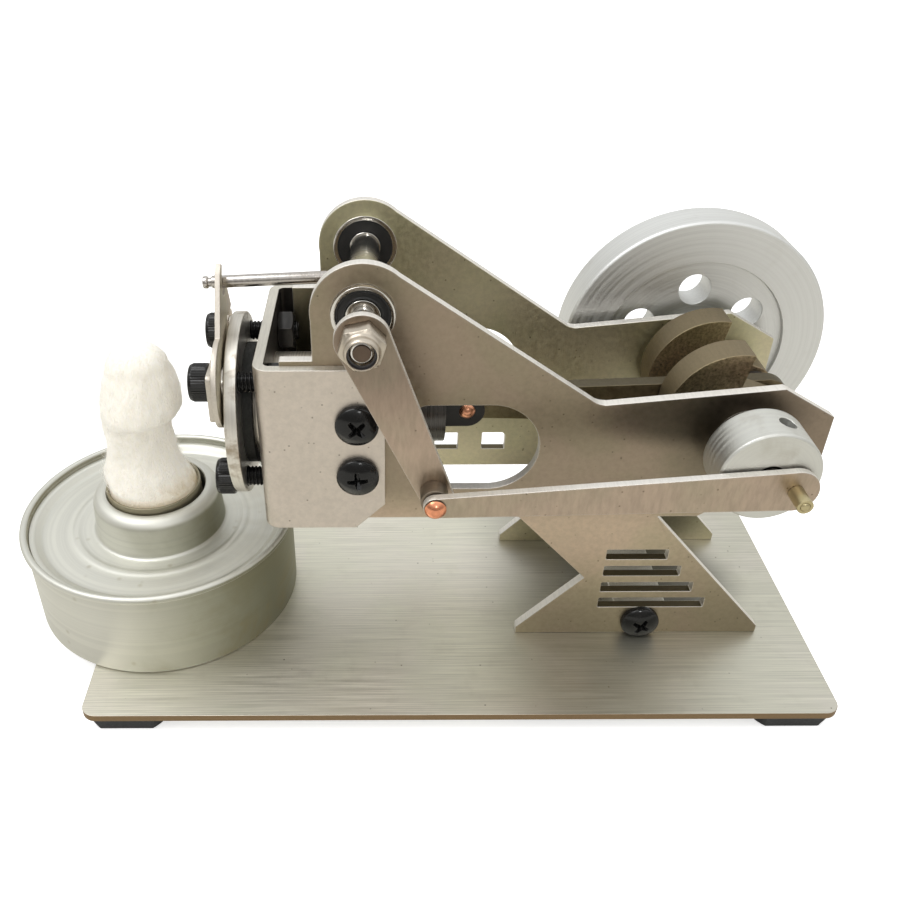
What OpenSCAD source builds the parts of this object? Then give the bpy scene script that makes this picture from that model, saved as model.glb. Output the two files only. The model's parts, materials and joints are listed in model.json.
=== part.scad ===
// Desk-top flame-driven hot-air engine with its spirit lamp.
// Millimetres, +X right along the base, +Y away from the viewer, +Z up.
// Datum: the mid-plane between the side plates is y = 0 before the last shift.

/* [Base and feet] */
// Length of the base sheet
base_length = 150; // [140:1:160]
// Depth of the base sheet
base_depth = 75; // [72:1:90]
// Distance from the engine's mid-plane to the base's front edge
base_front = 38.6;
// Thickness of the base sheet
base_thickness = 1.6; // [1.2:0.1:2]
// Corner radius of the base sheet
base_corner = 3;
// Height of a rubber foot
foot_height = 3.4;
// Half width of a foot where it meets the base
foot_top_half = 7.6;
// Half width of a foot where it meets the table
foot_bottom_half = 6.8;
// Share of a foot's half width that its blunted corners reach from its middle
foot_corner_share = 1.28;
// Inset of the foot centres from the base's short edges
foot_inset_x = 8.6;
// Inset of the foot centres from the base's long edges
foot_inset_y = 7.7;

/* [Side plates] */
// Thickness of each side plate
plate_thickness = 2; // [1.5:0.1:2.5]
// Clear distance between the two side plates
plate_gap = 29;
// Height of the plates' straight lower edge
plate_bottom_z = 36.8;
// Left end of the plates, inside the bracket
nose_x = -33.2;
// Height of the nose's top edge
nose_top_z = 71.6;
// Radius of the round boss at the rocker bearing
boss_radius = 9.15;
// Notch where the slope meets the arm, along X
notch_x = 24.3;
// Notch where the slope meets the arm, height
notch_z = 62.2;
// Shoulder at the arm's right end, along X
shoulder_x = 57;
// Shoulder at the arm's right end, height
shoulder_z = 65.5;
// Right end of the arm
arm_end_x = 67.2;
// Top of the arm's right end
arm_tip_z = 59.6;
// Bottom of the arm's right end
arm_chin_z = 51.2;
// Right end of the straight lower edge
arm_heel_x = 46.6;
// Left end of the leg's top
leg_top_left_x = 11.6;
// Right end of the leg's top
leg_top_right_x = 38.8;
// Waist of the leg, along X
waist_x = 26.4;
// Waist of the leg, height
waist_z = 20.8;
// Left toe of the leg
toe_left_x = 13.4;
// Right toe of the leg
toe_right_x = 65.1;
// Height of the blunt ends of the toes
toe_blunt = 1.8;
// Radius of the fillet in the notch
notch_fillet = 5;

/* [Window and slots] */
// Lower edge of the window
window_bottom_z = 43.8;
// Height of the window
window_height = 18.6;
// Left end of the window
window_left_x = -9.9;
// Right end of the window
window_right_x = 14.1;
// Corner radius on the window's left side
window_corner = 3.4;
// Left end of the four leg slots
slot_left_x = 30.2;
// Lowest slot's lower edge
slot_bottom_z = 12.5;
// Height of each leg slot
slot_height = 2.6;
// Distance from one leg slot to the next
slot_pitch = 4.4;
// Length of the lowest leg slot
slot_length = 22.2;
// Change of length from one slot to the next
slot_shrink = 3.25;
// Number of leg slots
slot_count = 4; // [2:1:4]
// Left end of the rear plate's apron
apron_left_x = -12.5;
// Height of the rear plate's apron
apron_height = 9.2;
// Corner radius of the apron
apron_corner = 2.5;
// Left end of the first apron slot
apron_slot_x = -3.2;
// Length of an apron slot
apron_slot_length = 5.2;
// Height of an apron slot
apron_slot_height = 4.3;
// Distance from one apron slot to the next
apron_slot_pitch = 10.6;
// Strip left between the plate's lower line and the apron slots
apron_slot_drop = 0.4;

/* [Leg block] */
// Centre of the cross block, along X
block_x = 39.6;
// Width of the cross block
block_width = 11;
// Height of the cross block
block_height = 7.2;
// Height of the leg screws above the base sheet
leg_screw_rise = 3.7;
// Distance of the base screws from the mid-plane
base_screw_y = 4.5;

/* [Bracket] */
// Outer face of the bracket's web
web_x = -38;
// Thickness of the bracket sheet
bracket_thickness = 2; // [1.5:0.1:2.4]
// Inner radius of the bracket's bends
bend_radius = 1;
// Right end of the bracket's cheeks
cheek_end_x = -14.6;
// Lower edge of the bracket
bracket_bottom_z = 35.9;
// Upper edge of the bracket
bracket_top_z = 70.8;
// Chamfer on the cheeks' free corners
cheek_chamfer = 5.6;
// Bracket screws, along X
bracket_screw_x = -19.7;
// Upper bracket screw, height
bracket_screw_top_z = 59.8;
// Lower bracket screw, height
bracket_screw_low_z = 48.5;

/* [Cylinder and head] */
// Height of the cylinder's axis
axis_z = 53.5;
// Outer radius of the cylinder
cylinder_radius = 10;
// Bore radius of the cylinder
bore_radius = 8.05;
// Open end of the cylinder
cylinder_end_x = -10;
// Left face of the head flange
head_x = -44;
// Thickness of the head flange
head_thickness = 2.4;
// Radius of the head flange
head_radius = 18;
// Radius of the port in the head
port_radius = 1.15;
// Thickness of the heat washer behind the head
washer_thickness = 2;
// Outer radius of the heat washer
washer_radius = 12;
// Radius of the head's screw circle
head_screw_circle = 15;
// Least wall around a screw hole in the head
head_land = 0.8;
// Length of the upper stand-offs in front of the head
standoff_length = 1.9;
// Outer radius of a stand-off
standoff_radius = 3;
// Thickness of the valve's keeper plate
keeper_thickness = 1;
// Half height of the keeper plate
keeper_half = 4.85;
// Drop of the keeper plate's centre below its screws
keeper_drop = 1.65;
// Reach of the keeper plate past its screws
keeper_reach = 4.2;
// Corner radius of the keeper plate
keeper_corner = 1;
// Radius of the head screws' cylindrical heads
head_screw_radius = 3.6;
// Height of the head screws' heads
head_screw_height = 3.6;
// Chamfer at the outer edge of the head screws' heads
cap_chamfer = 0.6;
// Across-corner radius of the hexagon sockets in the head screws
socket_radius = 1.75;
// Depth of those sockets
socket_depth = 2;
// Thickness of the wave washer
wave_thickness = 0.4;
// Outer radius of the wave washer
wave_radius = 5.2;

/* [Valve] */
// Thickness of the valve lever
valve_thickness = 1;
// Clearance between sliding sheet parts
side_gap = 0.3;
// Radius of the valve lever around its pivot
valve_hub_radius = 8.4;
// Radius of the valve lever over the port
valve_pad_radius = 5;
// Half width of the fork slot
fork_slot_half = 1.55;
// Width of the near prong
near_prong = 2.2;
// Width of the far prong
far_prong = 2.6;
// Distance from the pivot to the near prong's tip
near_tip_reach = 21.3;
// Distance from the pivot to the far prong's tip
far_tip_reach = 20;
// Distance from the pivot to the slot's closed end
slot_root_reach = 15.9;
// Width of the ear beside the far prong
ear_width = 4.6;
// Length of the ear along the slot
ear_length = 5;
// Turn of the valve lever that brings its port over the head's
valve_turn = 9.5;
// Running clearance of every pivot, on the radius
run = 0.05; // [0.02:0.01:0.08]

/* [Rocker] */
// Rocker shaft, along X
rocker_x = -18.3;
// Rocker shaft, height
rocker_z = 80.5;
// Radius of the rocker shaft and of the crankshaft
shaft_radius = 2;
// Radius of the sleeve between the rocker bearings
sleeve_radius = 2.8;
// Front end of the rocker shaft
rocker_front_y = -30.7;
// Rear end of the rocker shaft
rocker_rear_y = 22.9;
// Radius of the valve rod
rod_radius = 1.15;
// Distance from the rocker shaft to the rod's free end
rod_reach = 29.8;
// Slope of the valve rod, downwards to the left
rod_slope = 2.5;
// Width of the groove near the rod's end
rod_groove = 0.8;
// Depth of that groove
rod_groove_depth = 0.3;
// Length of the rod's end beyond the groove
rod_tip = 0.9;
// Front face of the lever
lever_y = -26.5;
// Thickness of the lever
lever_thickness = 1.5;
// Radius of the lever around the shaft
lever_boss = 4.7;
// Half width of the lever's square end
lever_end_half = 2.95;
// Length of the lever from the shaft to its end
lever_length = 34.9;
// Lean of the lever from the vertical
lever_lean = 22.5;
// Distance from the shaft to the link's rivet
rivet_reach = 32.3;
// Thickness of the jam nut behind the lever
jam_nut = 2.4;

/* [Link and crank disc] */
// Front face of the link
link_y = -31.7;
// Thickness of the link
link_thickness = 1.5;
// Radius of the link's left end
link_left = 2.1;
// Radius of the link's right end
link_right = 4.1;
// Radius of the link's rivet
rivet_radius = 1.2;
// Radius of the rivet's head
rivet_head_radius = 1.9;
// Height of the rivet's head
rivet_head = 1.1;
// Radius of the rivet's spacer
rivet_spacer_radius = 2.5;
// Radius of the drive pin's core
drive_core = 0.8;
// Radius of the drive pin's sleeve
drive_sleeve = 1.4;
// Length of the drive pin in front of the link
drive_length = 4.3;
// Throw of the drive pin
drive_throw = 4.3;
// Angle of the drive pin at rest, below the horizontal
drive_angle = -20;
// Depth of the drive pin's seat in the disc
drive_seat = 4.5;
// Radius of the crank disc
disc_radius = 9;
// Front face of the crank disc
disc_y = -29.7;
// Thickness of the crank disc
disc_thickness = 8.8;
// Chamfer on the crank disc's edges
disc_chamfer = 0.35;
// Depth of the shaft's end below the disc's face
shaft_recess = 0.6;
// Radius of a set screw's hole
set_hole = 1.6;
// Radius of a set screw
set_radius = 1.45;
// Length of a set screw
set_length = 3;
// Depth of a set screw below the surface
set_depth = 1.2;
// Angle of the disc's set screw
set_angle = 73;

/* [Crankshaft] */
// Crankshaft, along X
crank_x = 51.8;
// Crankshaft, height
crank_z = 55.5;
// Throw of the crank pin
crank_throw = 9;
// Angle of the crank pin at rest, below the horizontal
crank_angle = -10;
// Radius of the half-disc counterweights
counter_radius = 12.45;
// Thickness of a counterweight
counter_thickness = 6.4;
// Front face of the front counterweight
front_counter_y = -8.3;
// Front face of the rear counterweight
rear_counter_y = 5.7;
// Radius of a counterweight's arm at the shaft
arm_root = 5.2;
// Radius of a counterweight's arm at the crank pin
arm_end = 3.8;
// Radius of the shaft collars
collar_radius = 3.4;
// Rear end of the crankshaft
crank_rear_y = 32.4;
// Radius of the crank pin
pin_radius = 2;
// Radius of the crank pin's sleeve
pin_sleeve = 3.2;

/* [Bearings] */
// Outer radius of a ball bearing
bearing_radius = 5.5;
// Width of a ball bearing, flange and all
bearing_width = 4;
// Radius of a bearing's flange
bearing_flange = 6.25;
// Thickness of a bearing's flange
flange_width = 1;
// Inner radius of the outer ring
outer_race = 4.8;
// Inner radius of the outer ring at the flange
flange_race = 5.4;
// Outer radius of the inner ring
inner_race = 3;
// Depth of the seals below the bearing's faces
seal_recess = 0.25;

/* [Flywheel] */
// Radius of the flywheel
wheel_radius = 27.9; // [26:0.1:28.5]
// Front face of the flywheel
wheel_y = 18.8;
// Thickness of the flywheel's rim
wheel_thickness = 8.8;
// Inner radius of the rim
rim_inner = 19.2;
// Depth of the recess on each side of the web
wheel_recess = 1;
// Radius of the hub
hub_radius = 6.4;
// Length of the hub behind the wheel
hub_length = 4;
// Radius of the circle of lightening holes
wheel_hole_circle = 13;
// Radius of a lightening hole
wheel_hole = 3.3;
// Number of lightening holes
wheel_holes = 6; // [5:1:6]
// Angle of the first lightening hole
wheel_hole_angle = 96;
// Chamfer on the flywheel's edges
wheel_chamfer = 0.4;

/* [Piston and connecting rod] */
// Radius of the piston
piston_radius = 8;
// Length of the piston
piston_length = 20;
// Distance from the piston's crown to the wrist pin
piston_reach = 24.4;
// Depth of the piston's oil grooves
groove_depth = 0.4;
// Width of an oil groove
groove_width = 0.9;
// Distance between the oil grooves
groove_pitch = 3.2;
// Number of oil grooves
groove_count = 3; // [2:1:4]
// Length of the connecting rod between its pins
conrod_length = 59;
// Thickness of the connecting rod
conrod_thickness = 3;
// Radius of the connecting rod's small end
small_end = 3.2;
// Radius of the connecting rod's big end
big_end = 5;
// Thickness of a clevis cheek
clevis_cheek = 2.3;
// Half height of the clevis
clevis_half = 3.5;
// Thickness of the clevis's foot
clevis_foot = 1;
// Radius of the wrist rivet
wrist_radius = 1;
// Radius of the wrist rivet's heads
wrist_head_radius = 1.6;
// Height of the wrist rivet's heads
wrist_head = 0.9;

/* [Spirit lamp] */
// Lamp, along X
lamp_x = -63.7;
// Lamp, along Y
lamp_y = 0.9;
// Radius of the lamp's tin
lamp_radius = 28.6;
// Height of the lamp's tin
lamp_height = 21.3;
// Clearance under the lamp
lamp_gap = 0.05;
// Sheet thickness of the lamp
lamp_sheet = 0.8;
// Radius of the rolled rim
rim_roll = 0.8;
// Distance that the rolled rim stands out past the tin's wall
rim_reach = 0.9;
// Radius of the rounding at the tin's lower edge
lamp_heel = 0.9;
// Depth of the lid below the rim
lid_depth = 3.2;
// Width of the lid's sloping wall inside the tin
lid_slope = 2.4;
// Share of the lid's floor between the cup and the raised bead
bead_place_share = 0.374;
// Radius of the bead's section
bead_radius = 0.5;
// Rise of the bead above the lid's floor
bead_rise = 0.25;
// Radius of the cup's foot
cup_foot_radius = 13.9;
// Radius of the cup where its shoulder begins
cup_lip_radius = 13.5;
// Height of the cup above the lid's floor
cup_height = 9;
// Bore radius of the cup
cup_bore = 10.4;
// Rounding of the cup's shoulder
lip_round = 2.6;
// Depth of the lip that turns down into the cup's bore
lip_drop = 2.2;
// Length of the wick tube
tube_length = 19.85;
// Height of the wick tube's end above the cup
tube_stand = 0.35;
// Outer radius of the wick tube
tube_radius = 9.9;
// Wall of the wick tube
tube_wall = 0.5;
// Height of the collar that carries the wick tube in the cup's bore
tube_collar = 0.8;

/* [Wick] */
// Height of the wick's top above the base sheet
wick_top = 61;
// Depth of the wick's lower end below the cup's lip
wick_tail = 17;
// Clearance between the wick and its tube
wick_gap = 0.1;
// Radius of the wick's swelling
wick_bulb_radius = 8.4;
// Shares of the wick's free height where its section changes
wick_height_shares = [0.02, 0.2, 0.4, 0.5, 0.58, 0.68, 0.8, 0.92, 1];
// Shares of the swelling's radius at those heights
wick_radius_shares = [1.1, 1.0, 0.93, 0.96, 1.0, 0.95, 0.75, 0.5, 0.2];

/* [Fasteners] */
// Radius of a pan head
pan_radius = 4;
// Height of a pan head
pan_height = 2.4;
// Share of the pan head's height that is straight
pan_straight_share = 0.5;
// Radius of a screw's shank
shank_radius = 1.95;
// Radius of a screw hole
screw_hole = 2.1;
// Across-corner radius of a hexagon nut
nut_radius = 4.04;
// Height of a hexagon nut
nut_height = 3.2;
// Radius of a lock nut's crown
crown_radius = 2.9;
// Height of a lock nut's crown
crown_height = 1.8;
// Thread left beyond a nut
thread_end = 0.9;
// Length of the leg and base screws in the block
block_screw_length = 6;
// Radius of the base screws' heads
base_head_radius = 3.4;
// Height of the base screws' heads
base_head = 1.7;

/* [Hidden] */
$fn = 72;
// Straight sides meet round ends at this share of their radius
tangent_share = 0.99;
// Fillets reach this much past their tangent points, into the sheet
sunk_share = 1.2;
base_top = foot_height + base_thickness;
plate_in = plate_gap / 2;
plate_out = plate_in + plate_thickness;
cheek_out = plate_out + bracket_thickness;
lamp_low = base_top + lamp_gap;
lid_z = lamp_low + lamp_height - lid_depth;
lip_z = lid_z + cup_height;
lid_floor_radius = lamp_radius - lamp_sheet - lid_slope;
wick_foot_radius = tube_radius - tube_wall - wick_gap;
bead_circle = cup_foot_radius + bead_place_share * (lid_floor_radius - cup_foot_radius);
washer_x = head_x + head_thickness;
web_in = web_x + bracket_thickness;
head_screw_offset = head_screw_circle * sin(45);
pivot_y = -head_screw_offset;
pivot_z = axis_z + head_screw_offset;
keeper_x = head_x - standoff_length;
rod_far = plate_in - flange_width;
bearing_face = plate_in - flange_width + bearing_width;
fork_z = rocker_z - tan(rod_slope) * (rocker_x - head_x + side_gap + valve_thickness / 2);
fork_angle = atan2(fork_z - pivot_z, -pivot_y);
rivet_x = rocker_x + rivet_reach * sin(lever_lean);
rivet_z = rocker_z - rivet_reach * cos(lever_lean);
drive_x = crank_x + drive_throw * cos(drive_angle);
drive_z = crank_z + drive_throw * sin(drive_angle);
link_length = norm([drive_x - rivet_x, drive_z - rivet_z]);
link_angle = atan2(drive_z - rivet_z, drive_x - rivet_x);
pin_x = crank_x + crank_throw * cos(crank_angle);
pin_z = crank_z + crank_throw * sin(crank_angle);
wrist_x = pin_x - sqrt(pow(conrod_length, 2) - pow(pin_z - axis_z, 2));
conrod_angle = atan2(pin_z - axis_z, pin_x - wrist_x);
crown_x = wrist_x - piston_reach;
link_back = link_y + link_thickness;
disc_back = disc_y + disc_thickness;
block_z = base_top + leg_screw_rise;
// The part is shifted so that its frame sits under the middle of its bounding box
shift_x = -(min(lamp_x - lamp_radius - rim_reach, -base_length / 2)
  + max(crank_x + wheel_radius, base_length / 2)) / 2;
shift_y = base_front - base_depth / 2;

// Round bar along Y between two places
module round_y(radius, y0, y1, faces = $fn) {
  translate([0, y1, 0]) rotate([90, 0, 0]) cylinder(r = radius, h = y1 - y0, $fn = faces);
}

// Round bar along X between two places
module round_x(radius, x0, x1, faces = $fn) {
  translate([x0, 0, 0]) rotate([0, 90, 0]) cylinder(r = radius, h = x1 - x0, $fn = faces);
}

// Ring along Y
module ring_y(outer, inner, y0, y1) {
  difference() {
    round_y(outer, y0, y1);
    round_y(inner, y0 - outer, y1 + outer);
  }
}

// Ring along X
module ring_x(outer, inner, x0, x1) {
  difference() {
    round_x(outer, x0, x1);
    round_x(inner, x0 - outer, x1 + outer);
  }
}

// Sheet in the XZ plane from an outline drawn in x and z
module sheet_y(y0, y1) {
  translate([0, y1, 0]) rotate([90, 0, 0]) linear_extrude(y1 - y0) children();
}

// Sheet in the YZ plane from an outline drawn in y and z
module sheet_x(x0, x1) {
  translate([x0, 0, 0]) rotate([90, 0, 90]) linear_extrude(x1 - x0) children();
}

// Both signs of Y
module both_sides() {
  children();
  mirror([0, 1, 0]) children();
}

// Outline of a bar with round ends of two radii
module taper_bar(length, r_start, r_end) {
  near = r_start * tangent_share;
  far = r_end * tangent_share;
  lean = asin((far - near) / length);
  circle(r_start);
  translate([length, 0]) circle(r_end);
  polygon([
    [-near * sin(lean), near * cos(lean)], [-near * sin(lean), -near * cos(lean)],
    [length - far * sin(lean), -far * cos(lean)], [length - far * sin(lean), far * cos(lean)]]);
}

// Fillet in an inner corner, between the directions of its two sides
module corner_fill(corner, angle_a, angle_b, radius) {
  half = (angle_b - angle_a) / 2;
  reach = radius / tan(half);
  middle = radius / sin(half) * [cos(angle_a + half), sin(angle_a + half)];
  touch_a = reach * [cos(angle_a), sin(angle_a)];
  touch_b = reach * [cos(angle_b), sin(angle_b)];
  translate(corner) difference() {
    polygon([middle, middle + (touch_b - middle) * sunk_share, -middle / 2,
      middle + (touch_a - middle) * sunk_share]);
    translate(middle) circle(radius / tangent_share);
  }
}

// Rectangle with round corners, from its lower left corner
module round_box(size_x, size_z, corner) {
  translate([corner, 0]) square([size_x - 2 * corner, size_z]);
  translate([0, corner]) square([size_x, size_z - 2 * corner]);
  for (x = [corner, size_x - corner], z = [corner, size_z - corner])
    translate([x, z]) circle(corner);
}

// Pan-head screw: the head stands on z = 0, the shank hangs below
module pan_screw(length, radius = pan_radius, height = pan_height) {
  crown = (pow(radius, 2) + pow(height * (1 - pan_straight_share), 2) * 4)
    / (4 * height * (1 - pan_straight_share));
  intersection() {
    cylinder(r = radius, h = height);
    translate([0, 0, height - crown]) sphere(crown);
  }
  translate([0, 0, -length]) cylinder(r = shank_radius, h = length);
}

// Socket-head screw: the head stands on z = 0, the shank hangs below
module cap_screw(length) {
  difference() {
    union() {
      cylinder(r = head_screw_radius, h = head_screw_height - cap_chamfer);
      translate([0, 0, head_screw_height - cap_chamfer])
        cylinder(r1 = head_screw_radius, r2 = head_screw_radius - cap_chamfer, h = cap_chamfer);
    }
    translate([0, 0, head_screw_height - socket_depth])
      cylinder(r = socket_radius, h = 2 * socket_depth, $fn = 6);
  }
  translate([0, 0, -length]) cylinder(r = shank_radius, h = length);
}

// Hexagon nut with its lower face on z = 0
module hex_nut(height = nut_height) {
  difference() {
    cylinder(r = nut_radius, h = height, $fn = 6);
    translate([0, 0, -height]) cylinder(r = screw_hole, h = 3 * height);
  }
}

// Hexagon nut with a round locking crown
module lock_nut() {
  difference() {
    union() {
      cylinder(r = nut_radius, h = nut_height, $fn = 6);
      cylinder(r = crown_radius, h = nut_height + crown_height);
    }
    translate([0, 0, -nut_height]) cylinder(r = shaft_radius + run, h = 4 * nut_height);
  }
}

// Set screw along Z with its outer end on z = 0
module set_screw() {
  translate([0, 0, -set_length]) cylinder(r = set_radius, h = set_length);
}

module at_rocker() { translate([rocker_x, 0, rocker_z]) children(); }
module at_crank() { translate([crank_x, 0, crank_z]) children(); }
module at_axis() { translate([0, 0, axis_z]) children(); }
module at_lamp() { translate([lamp_x, lamp_y, 0]) children(); }

module base_plate() color("silver") difference() {
  translate([-base_length / 2, -base_front, foot_height])
    linear_extrude(base_thickness) round_box(base_length, base_depth, base_corner);
  for (s = [-1, 1]) translate([block_x, s * base_screw_y, 0])
    cylinder(r = screw_hole, h = 2 * base_top);
}

// Tapered side view of a foot
module foot_section() polygon([[-foot_bottom_half, 0], [foot_bottom_half, 0],
  [foot_top_half, foot_height], [-foot_top_half, foot_height]]);

module rubber_feet() color("darkslategray")
  for (x = [foot_inset_x - base_length / 2, base_length / 2 - foot_inset_x],
       y = [foot_inset_y - base_front, base_depth - base_front - foot_inset_y])
    translate([x, y, 0]) intersection() {
      sheet_x(-foot_top_half, foot_top_half) foot_section();
      sheet_y(-foot_top_half, foot_top_half) foot_section();
      cylinder(r1 = foot_bottom_half * foot_corner_share, r2 = foot_top_half * foot_corner_share,
        h = foot_height);
    }

// Window that both side plates share
module window_outline() {
  round_r = window_height / 2;
  translate([window_left_x, window_bottom_z])
    round_box(window_right_x - window_left_x - round_r, window_height, window_corner);
  translate([window_right_x - round_r, window_bottom_z + round_r]) circle(round_r);
  translate([window_right_x - 2 * round_r, window_bottom_z])
    square([round_r, window_height]);
}

// Outline of a side plate with all its openings
module plate_outline() {
  boss_inner = boss_radius * tangent_share;
  slope = atan2(notch_z - rocker_z, notch_x - rocker_x)
    - asin(boss_inner / norm([notch_x - rocker_x, notch_z - rocker_z]));
  arm_rise = atan2(shoulder_z - notch_z, shoulder_x - notch_x);
  difference() {
    union() {
      translate([rocker_x, rocker_z]) circle(boss_radius);
      polygon([
        [nose_x, plate_bottom_z], [leg_top_left_x, plate_bottom_z],
        [waist_x, waist_z], [toe_left_x, base_top + toe_blunt],
        [toe_left_x, base_top], [toe_right_x, base_top],
        [toe_right_x, base_top + toe_blunt], [leg_top_right_x, plate_bottom_z],
        [arm_heel_x, plate_bottom_z], [arm_end_x, arm_chin_z],
        [arm_end_x, arm_tip_z], [shoulder_x, shoulder_z],
        [notch_x, notch_z],
        [rocker_x - boss_inner * sin(slope), rocker_z + boss_inner * cos(slope)],
        [rocker_x, rocker_z], [rocker_x - boss_inner, rocker_z],
        [rocker_x - boss_inner, nose_top_z], [nose_x, nose_top_z]]);
      corner_fill([notch_x, notch_z], arm_rise, 180 + slope, notch_fillet);
    }
    translate([rocker_x, rocker_z]) circle(bearing_radius);
    translate([crank_x, crank_z]) circle(bearing_radius);
    window_outline();
    for (i = [0 : slot_count - 1])
      translate([slot_left_x, slot_bottom_z + i * slot_pitch])
        square([slot_length - i * slot_shrink, slot_height]);
    translate([block_x, block_z]) circle(screw_hole);
    for (z = [bracket_screw_top_z, bracket_screw_low_z])
      translate([bracket_screw_x, z]) circle(screw_hole);
  }
}

// Plain apron under the rear plate with two straight slots
module apron_outline() {
  leg_lean = (waist_x - leg_top_left_x) / (plate_bottom_z - waist_z);
  wide = leg_top_left_x + apron_height * leg_lean - apron_left_x;
  difference() {
    union() {
      translate([apron_left_x, plate_bottom_z - apron_height])
        round_box(wide, apron_height + 2 * apron_corner, apron_corner);
      translate([apron_left_x + apron_corner, plate_bottom_z - apron_height])
        square([wide - apron_corner, apron_height]);
    }
    for (i = [0, 1])
      translate([apron_slot_x + i * apron_slot_pitch,
          plate_bottom_z - apron_slot_drop - apron_slot_height])
        square([apron_slot_length, apron_slot_height]);
  }
}

module front_plate() color("tan") sheet_y(-plate_out, -plate_in) plate_outline();

module rear_plate() color("tan") sheet_y(plate_in, plate_out) {
  plate_outline();
  apron_outline();
}

module leg_block() color("silver") difference() {
  translate([block_x - block_width / 2, -plate_in, base_top])
    cube([block_width, plate_gap, block_height]);
  both_sides() translate([block_x, 0, block_z])
    round_y(screw_hole, -plate_out, thread_end + block_screw_length - plate_in);
  for (s = [-1, 1]) translate([block_x, s * base_screw_y, base_top - block_height])
    cylinder(r = screw_hole, h = block_screw_length + block_height);
}

module leg_screws() color("dimgray") both_sides()
  translate([block_x, -plate_out, block_z]) rotate([90, 0, 0])
    pan_screw(block_screw_length + plate_thickness);

module base_screws() color("dimgray") for (s = [-1, 1])
  translate([block_x, s * base_screw_y, foot_height]) rotate([180, 0, 0])
    pan_screw(block_screw_length, base_head_radius, base_head);

// Section of the bent bracket seen from above
module bracket_section() {
  long = cheek_end_x - web_x;
  outer = bend_radius + bracket_thickness;
  difference() {
    translate([web_x, -cheek_out]) union() {
      translate([outer, 0]) square([long - outer, 2 * cheek_out]);
      translate([0, outer]) square([long, 2 * cheek_out - 2 * outer]);
      for (y = [outer, 2 * cheek_out - outer]) translate([outer, y]) circle(outer);
    }
    translate([web_in, -plate_out]) union() {
      translate([bend_radius, 0]) square([2 * long, 2 * plate_out]);
      translate([0, bend_radius]) square([2 * long, 2 * plate_out - 2 * bend_radius]);
      for (y = [bend_radius, 2 * plate_out - bend_radius])
        translate([bend_radius, y]) circle(bend_radius);
    }
  }
}

module cylinder_bracket() color("silver") difference() {
  intersection() {
    translate([0, 0, bracket_bottom_z])
      linear_extrude(bracket_top_z - bracket_bottom_z) bracket_section();
    sheet_y(-2 * cheek_out, 2 * cheek_out) polygon([
      [web_x, bracket_bottom_z], [cheek_end_x - cheek_chamfer, bracket_bottom_z],
      [cheek_end_x, bracket_bottom_z + cheek_chamfer],
      [cheek_end_x, bracket_top_z - cheek_chamfer],
      [cheek_end_x - cheek_chamfer, bracket_top_z], [web_x, bracket_top_z]]);
  }
  at_axis() round_x(cylinder_radius + run, web_x - head_radius, web_in + head_radius / 4);
  for (y = [-head_screw_offset, head_screw_offset], z = [-head_screw_offset, head_screw_offset])
    translate([0, y, axis_z + z]) round_x(screw_hole, web_x - head_radius, web_in + head_radius / 4);
  for (z = [bracket_screw_top_z, bracket_screw_low_z])
    translate([bracket_screw_x, 0, z]) round_y(screw_hole, -2 * cheek_out, 2 * cheek_out);
}

module bracket_screws() color("dimgray") both_sides()
  for (z = [bracket_screw_top_z, bracket_screw_low_z])
    translate([bracket_screw_x, -cheek_out, z]) rotate([90, 0, 0])
      pan_screw(bracket_thickness + plate_thickness + nut_height + thread_end);

module bracket_nuts() color("dimgray") both_sides()
  for (z = [bracket_screw_top_z, bracket_screw_low_z])
    translate([bracket_screw_x, nut_height - plate_in, z]) rotate([90, 0, 0]) hex_nut();

module cylinder_barrel() color("silver") at_axis() ring_x(cylinder_radius, bore_radius, washer_x, cylinder_end_x);

module heat_washer() color("black") at_axis()
  ring_x(washer_radius, cylinder_radius + run, washer_x, washer_x + washer_thickness);

module at_head_screws()
  for (y = [-head_screw_offset, head_screw_offset], z = [-head_screw_offset, head_screw_offset])
    translate([y, z]) children();

module head_flange() color("silver") sheet_x(head_x, washer_x) translate([0, axis_z]) difference() {
  union() {
    circle(head_radius);
    at_head_screws() circle(screw_hole + head_land);
  }
  circle(port_radius);
  at_head_screws() circle(screw_hole);
}

module lower_head_screws() color("dimgray") both_sides()
  translate([head_x, head_screw_offset, axis_z - head_screw_offset]) rotate([0, -90, 0])
    cap_screw(web_in + nut_height + thread_end - head_x);

module upper_head_screws() color("dimgray") both_sides()
  translate([keeper_x - keeper_thickness, head_screw_offset, pivot_z]) rotate([0, -90, 0])
    cap_screw(web_in + nut_height + thread_end - keeper_x + keeper_thickness);

module head_nuts() color("dimgray") both_sides()
  for (z = [-head_screw_offset, head_screw_offset])
    translate([web_in, head_screw_offset, axis_z + z]) rotate([0, 90, 0]) hex_nut();

module standoffs() color("silver") both_sides()
  translate([0, head_screw_offset, pivot_z])
    ring_x(standoff_radius, screw_hole, keeper_x, head_x);

module wave_washer() color("silver") translate([0, pivot_y, pivot_z])
  ring_x(wave_radius, standoff_radius + run, keeper_x, keeper_x + wave_thickness);

module keeper_plate() color("tan") difference() {
  wide = head_screw_offset + keeper_reach;
  sheet_x(keeper_x - keeper_thickness, keeper_x)
    translate([-wide, pivot_z - keeper_drop - keeper_half])
      round_box(2 * wide, 2 * keeper_half, keeper_corner);
  for (y = [-head_screw_offset, head_screw_offset])
    translate([0, y, pivot_z]) round_x(screw_hole, keeper_x - head_radius, head_x);
}

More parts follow.
